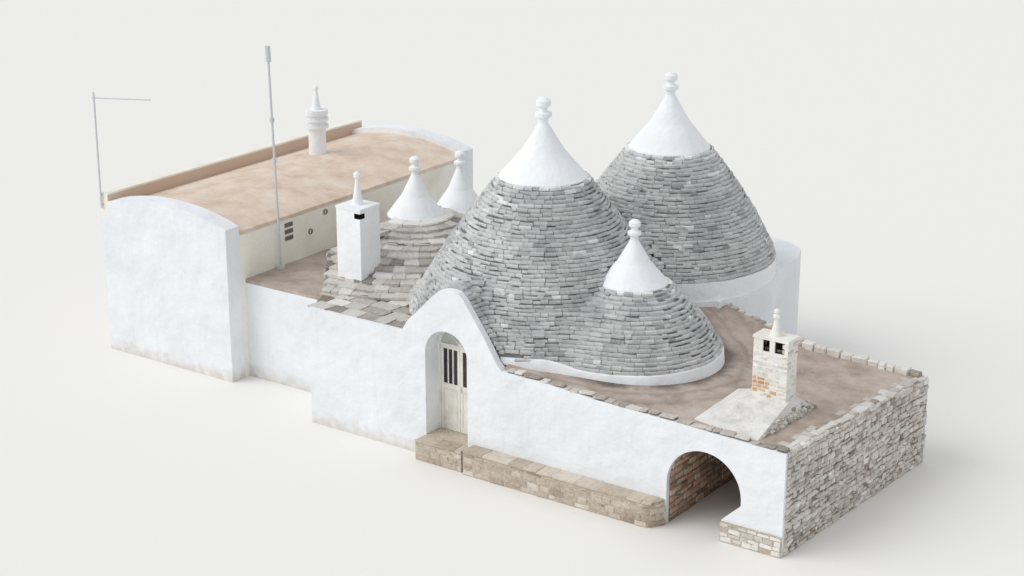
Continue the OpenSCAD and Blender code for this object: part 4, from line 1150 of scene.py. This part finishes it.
plinthStones = rubbleRows(plinthSpec, plinth["length"], 0.44, lambda u: plinth["rows"],
                          flatFace((plinth["left"], plinth["front"], 0), toRight, toFront))
plinthStones += rubbleRows(dict(plinthSpec, seed=36), plinth["end"], 0.44, lambda u: plinth["rows"],
                           flatFace((plinth["left"], plinth["endFrom"], 0), toFront, toLeft))
layStones("plinthStones", plinthStones, "paleRubble")

# loose stones along the edges of the flat roof of the lower block, and the pale kerb at its back
edgeSpec = {"width": (0.16, 0.38), "deep": (0.14, 0.26), "sunk": 0.05}


def edgeRow(seed, start, end, rise, tint, gap):
    dice = random.Random(seed)
    stones = []
    run = Vector(end) - Vector(start)
    ahead = run.normalized()
    outward = Vector((ahead.y, -ahead.x, 0))
    u = 0.0
    while u < run.length:
        width = dice.uniform(*edgeSpec["width"])
        at = Vector(start) + ahead * (u + width / 2)
        deep = dice.uniform(*edgeSpec["deep"])
        shape = dice.choice(rubbleKinds)
        high = dice.uniform(*rise)
        size = (width / shape["length"], deep / shape["depth"], (high + edgeSpec["sunk"]) / shape["height"])
        base = Vector((at.x, at.y, saddleTop(at.x, at.y) - edgeSpec["sunk"]))
        base += outward * (deep / 2 + dice.uniform(-0.02, 0.02))
        place = placeOnFace(base, outward, upward, dice.gauss(0, 0.04), size)
        stones.append((shape, place, stoneTint(dice, tint, 0.14)))
        u += width + dice.uniform(*gap)
    return stones


edgeStones = edgeRow(42, (8.24, -3.1, 0), (8.56, 2.8, 0), (0.02, 0.07), 0.62, (0.0, 0.03))
edgeStones += edgeRow(43, (8.05, -3.0, 0), (8.38, 2.8, 0), (0.005, 0.03), 0.5, (0.02, 0.5))
edgeStones += edgeRow(44, (8.55, 2.88, 0), (5.3, 2.88, 0), (0.12, 0.16), 0.85, (0.0, 0.02))
layStones("roofEdgeStones", edgeStones, "wallRubble")

# coping along the top of the front upstand: thin stones, runs of them lifted on a recessed dark bed
copingSpec = {"seed": 45, "from": 1.35, "to": 8.34, "front": -3.395, "deep": 0.20, "bed": 0.035,
              "high": (0.03, 0.055), "width": (0.12, 0.42), "run": (0.25, 0.9), "gaps": (0.005, 0.008, 0.03)}
upstandLine = [(1.22, 2.57), (2.20, 2.56), (3.83, 2.46), (5.56, 2.42), (8.35, 2.33)]


def upstandTop(x):
    return lineTop(upstandLine, x, upstandLine[-1][1])


def copingRow(spec):
    dice = random.Random(spec["seed"])
    tops, beds = [], []
    x = spec["from"]
    raised, left = False, 0.0
    while x < spec["to"] - 0.04:
        width = min(dice.uniform(*spec["width"]), spec["to"] - x)
        if left <= 0:
            raised, left = not raised, dice.uniform(*spec["run"])
        left -= width
        middle = x + width / 2
        x += width + dice.choice(spec["gaps"])
        lean = -math.atan2(upstandTop(middle + 0.1) - upstandTop(middle - 0.1), 0.2)
        lift = spec["bed"] if raised else 0.0
        shape = dice.choice(rubbleKinds)
        high = dice.uniform(*spec["high"])
        size = (width / shape["length"], spec["deep"] / shape["depth"], high / shape["height"])
        at = Vector((middle, spec["front"] + dice.uniform(0.0, 0.02), upstandTop(middle) + lift - 0.004))
        place = placeOnFace(at, toFront, upward, lean + dice.gauss(0, 0.035), size)
        tops.append((shape, place, stoneTint(dice, 0.45, 0.2)))
        if raised:
            size = (width * 0.98 / shape["length"], (spec["deep"] - 0.05) / shape["depth"],
                    (lift + 0.01) / shape["height"])
            at = Vector((middle, spec["front"] + 0.055, upstandTop(middle) - 0.008))
            beds.append((shape, placeOnFace(at, toFront, upward, lean, size), 0.3))
    return tops, beds


copingTops, copingBeds = copingRow(copingSpec)
layStones("copingStones", copingTops, "wallRubble")
layStones("copingBed", copingBeds, "darkPacking")

# flat slabs bedded on the level part of the roof on the left, edge to edge with dark joints
flatSpec = {"seed": 51, "across": 0.42, "along": (0.35, 0.7), "left": -6.7, "right": -1.6, "front": -3.06,
            "back": 5.0, "level": 2.965, "thick": 0.12, "joint": 0.02, "highest": 3.02, "inset": 0.10}


def flatSlabs(spec):
    dice = random.Random(spec["seed"])
    stones = []
    y = spec["front"]
    while y < spec["back"]:
        x = spec["left"] + dice.uniform(0, 0.3)
        while x < spec["right"]:
            width = dice.uniform(*spec["along"])
            cx = x + width / 2
            x += width
            if leftRoof(cx, y + 0.1) > spec["highest"] or not insidePlan(leftPlan, cx, y, spec["inset"]):
                continue
            if underCone("main", cx, y, 2.95, 0.05) or underCone("back", cx, y, 3.5, 0.12):
                continue
            shape = dice.choice(broadKinds)
            size = ((width - spec["joint"]) / shape["length"], spec["thick"] / shape["depth"],
                    (spec["across"] - spec["joint"]) / shape["height"])
            at = Vector((cx, y - spec["across"] / 2, spec["level"] + dice.uniform(-0.01, 0.02)))
            place = placeOnFace(at, upward, toBack, dice.gauss(0, 0.05), size)
            stones.append((shape, place, stoneTint(dice, 0.58, 0.14)))
        y += spec["across"]
    return stones


layStones("leftRoofSlabs", flatSlabs(flatSpec), "roofSlabs")

# edge of the slab roof over the link: thin courses from the white wall up to the slabs
eavesLine = [Vector((-6.74, 1.61, 0)), Vector((-6.45, -0.29, 0)), Vector((-4.9, -2.39, 0)),
             Vector((-4.5, -3.20, 0))]
eavesSpec = {"seed": 57, "rise": (0.07, 0.11), "width": (0.18, 0.46), "proud": (0.0, 0.03), "tint": 0.52,
             "loose": 0.02}
eavesFoot = 2.95


def eavesFace(u, v):
    for start, end in zip(eavesLine, eavesLine[1:]):
        run = end - start
        if u <= run.length or end is eavesLine[-1]:
            ahead = run.normalized()
            return start + ahead * u + upward * (eavesFoot + v), Vector((ahead.y, -ahead.x, 0)), upward
        u -= run.length


def eavesTop(u):
    at = eavesFace(u, 0.0)[0]
    return leftRoof(at.x + 0.05, at.y + 0.03) - eavesFoot + 0.06


eavesStones = rubbleRows(eavesSpec, 5.43, 0.9, eavesTop, eavesFace)
layStones("eavesStones", eavesStones, "roofSlabs")

# flat slabs over the ridge of the little roof behind the gable
ridgeSpec = {"seed": 61, "along": 0.23, "columns": (-0.46, -0.28, -0.10, 0.06), "front": -3.205, "back": -2.0,
             "width": 0.19, "thick": 0.07, "joint": 0.012, "bed": 0.03}


def ridgeSlabs(spec):
    dice = random.Random(spec["seed"])
    stones = []
    y = spec["front"]
    while y < spec["back"]:
        for column, x in enumerate(spec["columns"]):
            z = lineTop(gableLine, x, 0.0) - littleRoof["sunk"]
            if underCone("main", x, y + spec["along"] / 2, z, 0.06):
                continue
            fall = lineTop(gableLine, x - 0.05, 0.0) - lineTop(gableLine, x + 0.05, 0.0)
            outward = Vector((fall, 0, 0.1)).normalized()
            shape = dice.choice(broadKinds)
            size = (spec["width"] / shape["length"], spec["thick"] / shape["depth"],
                    (spec["along"] - spec["joint"]) / shape["height"])
            at = Vector((x, y + 0.01 * column, z)) + outward * (spec["bed"] + dice.uniform(-0.006, 0.006))
            place = placeOnFace(at, outward, toBack, dice.gauss(0, 0.04), size)
            stones.append((shape, place, stoneTint(dice, 0.6, 0.12)))
        y += spec["along"]
    return stones


layStones("ridgeSlabs", ridgeSlabs(ridgeSpec), "coneSlabs")

# pale mortar gutter in the valley between the main cone and the slab roof of the twins
valleySpec = {"seed": 71, "steps": 60, "from": 150, "to": 236, "near": 1.3, "far": 3.26, "lowest": 2.96,
              "highest": 4.3, "length": 0.30, "wide": (0.24, 0.32), "above": 0.075, "tint": (0.74, 0.95)}


# height of the main cone's surface at a distance from its axis
def mainHeight(reach):
    cone = cones["main"]
    return narrowed(lambda z: coneRadius(cone, z) > reach, cone["springing"], cone["capFoot"], 30)


def valleyStones(spec):
    dice = random.Random(spec["seed"])
    stones = []
    for k in range(spec["steps"]):
        a = math.radians(spec["from"] + (spec["to"] - spec["from"]) * k / spec["steps"])
        way = Vector((math.cos(a), math.sin(a), 0))

        def overSlabs(reach):
            return mainHeight(reach) > leftRoof(reach * math.cos(a), reach * math.sin(a))

        near = narrowed(overSlabs, spec["near"], spec["far"], 30)
        x, y = near * math.cos(a), near * math.sin(a)
        z = mainHeight(near)
        if z < spec["lowest"] or z > spec["highest"] or not insidePlan(leftPlan, x, y, 0.02):
            continue
        shape = dice.choice(rubbleKinds)
        outward = (upward - way * 0.05).normalized()
        up = (way + upward * 0.05).normalized()
        up = (up - outward * up.dot(outward)).normalized()
        size = (spec["length"] / shape["length"], 1.0, dice.uniform(*spec["wide"]) / shape["height"])
        at = Vector((x, y, z + spec["above"] + dice.uniform(-0.01, 0.02))) - up * 0.14
        place = placeOnFace(at, outward, up, dice.gauss(0, 0.05), size)
        stones.append((shape, place, dice.uniform(*spec["tint"])))
    return stones


layStones("valleyMortar", valleyStones(valleySpec), "roofSlabs")

# teeth of thin stones down the right edge of the whitewashed mound, in four rows up its slope
toothSpec = {"seed": 81, "rows": ((7.60, 0.0), (7.57, 0.06), (7.53, 0.12), (7.50, 0.18)), "front": -3.13,
             "back": -0.50, "width": (0.07, 0.15), "high": 0.07, "deep": 1.2}
moundTop = {"level": 2.67, "frontFrom": -1.62, "frontFall": 0.2, "backFrom": -1.17, "backFall": 0.7}


def toothRows(spec):
    dice = random.Random(spec["seed"])
    stones = []
    for row, (x, rise) in enumerate(spec["rows"]):
        y = spec["front"] + 0.05 * row
        while y < spec["back"]:
            width = dice.uniform(*spec["width"])
            mound = (moundTop["level"] + moundTop["frontFall"] * min(0, y - moundTop["frontFrom"])
                     - moundTop["backFall"] * max(0, y - moundTop["backFrom"]))
            z = saddleTop(x, y) + rise
            y += width + dice.uniform(0.0, 0.03)
            if z > mound - 0.03:
                continue
            shape = dice.choice(rubbleKinds)
            size = (width / shape["length"], spec["deep"], spec["high"] / shape["height"])
            at = Vector((x + dice.uniform(-0.02, 0.05), y, z - 0.01))
            place = placeOnFace(at, toRight, upward, dice.gauss(0, 0.1), size)
            stones.append((shape, place, stoneTint(dice, 0.45, 0.18)))
    return stones


layStones("moundTeeth", toothRows(toothSpec), "wallRubble")

# whitewashed rubble shaft of the chimney on the lower block, its ends built up beside the slots, with two
# groups of fire-reddened stones low on its front
hearth = {"x": 6.99, "y": -1.395, "wide": 0.82, "deep": 0.45, "foot": 2.40, "slots": 3.70, "beside": 0.27}
hearthSpec = {"seed": 91, "rise": (0.07, 0.13), "width": (0.09, 0.22), "proud": (0.0, 0.014), "tint": 0.62}
firedSpec = {"before": -1.55, "groups": ((6.76, 2.90, 0.20, 0.22, 1.05), (7.06, 2.70, 0.09, 0.12, 1.0))}


def hearthStones(spec):
    half, thick = hearth["wide"] / 2, hearth["deep"] / 2
    corners = [((-half, -thick), toRight, hearth["wide"]), ((half, -thick), toBack, hearth["deep"]),
               ((half, thick), toLeft, hearth["wide"]), ((-half, thick), toFront, hearth["deep"])]
    stones = []
    for k, ((cx, cy), ahead, length) in enumerate(corners):
        start = (hearth["x"] + cx, hearth["y"] + cy, hearth["foot"])
        face = flatFace(start, ahead, Vector((ahead.y, -ahead.x, 0)))
        high = hearth["slots"] - hearth["foot"] + (hearth["beside"] if k in (1, 3) else 0.0)
        stones += rubbleRows(dict(spec, seed=spec["seed"] + k), length, high, lambda u: high, face)
    return stones


def reddened(place):
    at = place.translation
    return at.y < firedSpec["before"] and any(math.hypot((at.x - x) / wide, (at.z - z) / high) < reach
                                              for x, z, wide, high, reach in firedSpec["groups"])


shaftStones = hearthStones(hearthSpec)
layStones("shaftStones", [s for s in shaftStones if not reddened(s[1])], "paleRubble")
layStones("firedStones", [s for s in shaftStones if reddened(s[1])], "firedRubble")
print("roofs and walls laid")

# joinery and vents: blocks with eased arrises, and rods
def addBlock(size, centre, worn):
    bpy.ops.object.select_all(action="DESELECT")
    bpy.ops.mesh.primitive_cube_add(size=1, location=centre)
    block = bpy.context.object
    bpy.ops.object.mode_set(mode="EDIT")
    bpy.ops.mesh.select_all(action="SELECT")
    bpy.ops.transform.resize(value=size, center_override=centre)
    bpy.ops.mesh.bevel(offset=worn, segments=2, affect="EDGES")
    bpy.ops.object.mode_set(mode="OBJECT")
    bpy.ops.object.transform_apply(location=True, rotation=True, scale=True)
    return block


# a round rod from point to point, its ends eased
def addRod(radius, start, end, worn, sides):
    way = Vector(end) - Vector(start)
    bpy.ops.object.select_all(action="DESELECT")
    bpy.ops.mesh.primitive_cylinder_add(vertices=sides, radius=radius, depth=way.length)
    rod = bpy.context.object
    bpy.ops.object.mode_set(mode="EDIT")
    bpy.ops.mesh.select_all(action="DESELECT")
    bpy.ops.object.mode_set(mode="OBJECT")
    for edge in rod.data.edges:
        a, b = (rod.data.vertices[i].co.z for i in edge.vertices)
        edge.select = abs(a - b) < 1e-6
    bpy.ops.object.mode_set(mode="EDIT")
    bpy.ops.mesh.select_mode(type="EDGE")
    bpy.ops.mesh.bevel(offset=worn, segments=2, affect="EDGES")
    bpy.ops.object.mode_set(mode="OBJECT")
    rod.rotation_mode = "QUATERNION"
    rod.rotation_quaternion = way.to_track_quat("Z", "Y")
    rod.location = (Vector(start) + Vector(end)) / 2
    bpy.ops.object.transform_apply(location=True, rotation=True, scale=True)
    bpy.ops.object.shade_smooth_by_angle(angle=math.radians(40))
    return rod


# parts joined as one piece that rides on a body
def joinPiece(name, parts, finish, body=house):
    bpy.ops.object.select_all(action="DESELECT")
    for part in parts:
        part.select_set(True)
    bpy.context.view_layer.objects.active = parts[0]
    if len(parts) > 1:
        bpy.ops.object.join()
    piece = bpy.context.view_layer.objects.active
    piece.name = name
    piece.data.name = name
    piece.data.materials.clear()
    piece.data.materials.append(finishes[finish])
    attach(piece, body)


# each leaf: two slim glazing bars, beads round the glass and a fielded panel below; side is -1 for the left
# leaf and 1 for the right one, and heights are above the ground
leaf = {"middle": -0.35, "front": -2.87, "gap": 0.005, "stile": 0.060, "width": 0.427, "glassFoot": 1.683,
        "glassTop": 2.567, "barWidth": 0.034, "barDeep": 0.036, "bead": 0.014, "beadDeep": 0.014,
        "moulding": 0.016, "panelTop": 1.573, "panelFoot": 0.648, "field": 0.06, "fieldDeep": 0.012}


# four mouldings round a panel or a pane
def beading(centre, y, foot, top, bead, worn):
    parts = []
    for z in (foot + bead / 2, top - bead / 2):
        parts.append(addBlock((leaf["width"], leaf["beadDeep"], bead), (centre, y, z), worn))
    for side in (-1, 1):
        x = centre + side * (leaf["width"] - bead) / 2
        parts.append(addBlock((bead, leaf["beadDeep"], top - foot), (x, y, (foot + top) / 2), worn))
    return parts


def leafTrim(side):
    start = leaf["middle"] + side * (leaf["gap"] + leaf["stile"])
    centre = start + side * leaf["width"] / 2
    glassHigh = leaf["glassTop"] - leaf["glassFoot"]
    glassMid = (leaf["glassTop"] + leaf["glassFoot"]) / 2
    parts = [addBlock((leaf["barWidth"], leaf["barDeep"], glassHigh),
                      (start + side * k * leaf["width"] / 3, leaf["front"] + 0.030, glassMid), 0.004)
             for k in (1, 2)]
    parts += beading(centre, leaf["front"] + 0.020, leaf["glassFoot"], leaf["glassTop"], leaf["bead"], 0.004)
    panelHigh = leaf["panelTop"] - leaf["panelFoot"]
    parts.append(addBlock((leaf["width"] - leaf["field"], leaf["fieldDeep"], panelHigh - leaf["field"]),
                          (centre, leaf["front"] + 0.018, (leaf["panelTop"] + leaf["panelFoot"]) / 2), 0.005))
    parts += beading(centre, leaf["front"] + 0.016, leaf["panelFoot"], leaf["panelTop"], leaf["moulding"],
                     0.005)
    return parts


joinPiece("leftLeafTrim", leafTrim(-1), "doorPaint", "door_left")
joinPiece("rightLeafTrim", leafTrim(1), "doorPaint", "door_right")

# bars of the arched light: three rods from a boss on the frame's head out to the arch
fan = {"x": -0.35, "head": 2.69, "lift": 0.095, "radius": 0.56, "front": -2.848, "short": 0.014,
       "bar": 0.012, "boss": 0.06, "angles": (38, 90, 142)}


def fanBars():
    parts = []
    start = Vector((fan["x"], fan["front"], fan["head"]))
    for degrees in fan["angles"]:
        a = math.radians(degrees)
        rise = fan["lift"] * math.sin(a)
        reach = math.sqrt(rise ** 2 + fan["radius"] ** 2 - fan["lift"] ** 2) - rise
        end = start + Vector((math.cos(a), 0, math.sin(a))) * (reach - fan["short"])
        parts.append(addRod(fan["bar"], start, end, 0.003, 12))
    parts.append(addRod(fan["boss"], start - Vector((0, 0.016, 0)), start + Vector((0, 0.012, 0)), 0.004, 24))
    return parts


joinPiece("fanlightBars", fanBars(), "doorPaint")

# iron pull and lock plate on the right leaf
lock = {"x": -0.313, "face": -2.862, "plate": (0.034, 0.005, 0.17), "z": 1.60, "knobZ": 1.63, "knob": 0.016,
        "stick": 0.043}
plate = addBlock(lock["plate"], (lock["x"], lock["face"] - 0.0005, lock["z"]), 0.002)
knob = addRod(lock["knob"], (lock["x"], lock["face"], lock["knobZ"]),
              (lock["x"], lock["face"] - lock["stick"], lock["knobZ"]), 0.005, 16)
joinPiece("lockPlate", [plate, knob], "dullZinc", "door_right")

# clay vents in the side wall of the annex: slits in a small surround, and two round pipes
vents = {"wall": -7.95, "slits": [(-0.20, 3.70), (-0.20, 3.52), (-0.20, 3.34)], "slit": (0.05, 0.30, 0.11),
         "slitRim": 0.022, "slitDeep": 0.022, "rounds": [(0.65, 3.31), (1.27, 3.71)], "pipe": 0.075,
         "pipeLong": 0.06, "pipeRim": 0.018, "pipeDeep": 0.045}


# the outer face, which looks along x, is inset and pushed in
def recess(block, rim, deep):
    bpy.ops.object.mode_set(mode="EDIT")
    bpy.ops.mesh.select_mode(type="FACE")
    bpy.ops.mesh.select_all(action="DESELECT")
    bpy.ops.object.mode_set(mode="OBJECT")
    for face in block.data.polygons:
        face.select = face.normal.x > 0.9
    bpy.ops.object.mode_set(mode="EDIT")
    bpy.ops.mesh.inset(thickness=rim, depth=0.0)
    bpy.ops.mesh.extrude_region_move(TRANSFORM_OT_translate={"value": (-deep, 0, 0)})
    bpy.ops.object.mode_set(mode="OBJECT")
    return block


def ventParts():
    parts = []
    for y, z in vents["slits"]:
        at = (vents["wall"], y, z)
        bpy.ops.object.select_all(action="DESELECT")
        bpy.ops.mesh.primitive_cube_add(size=1, location=at)
        slit = bpy.context.object
        bpy.ops.object.mode_set(mode="EDIT")
        bpy.ops.mesh.select_all(action="SELECT")
        bpy.ops.transform.resize(value=vents["slit"], center_override=at)
        bpy.ops.object.mode_set(mode="OBJECT")
        bpy.ops.object.transform_apply(location=True, rotation=True, scale=True)
        parts.append(recess(slit, vents["slitRim"], vents["slitDeep"]))
    for y, z in vents["rounds"]:
        bpy.ops.object.select_all(action="DESELECT")
        bpy.ops.mesh.primitive_cylinder_add(vertices=32, radius=vents["pipe"], depth=vents["pipeLong"],
                                            location=(vents["wall"], y, z), rotation=(0, math.pi / 2, 0))
        pipe = bpy.context.object
        bpy.ops.object.transform_apply(location=True, rotation=True, scale=True)
        parts.append(recess(pipe, vents["pipeRim"], vents["pipeDeep"]))
    return parts


joinPiece("annexVents", ventParts(), "ventMortar")
print("door and vents made")
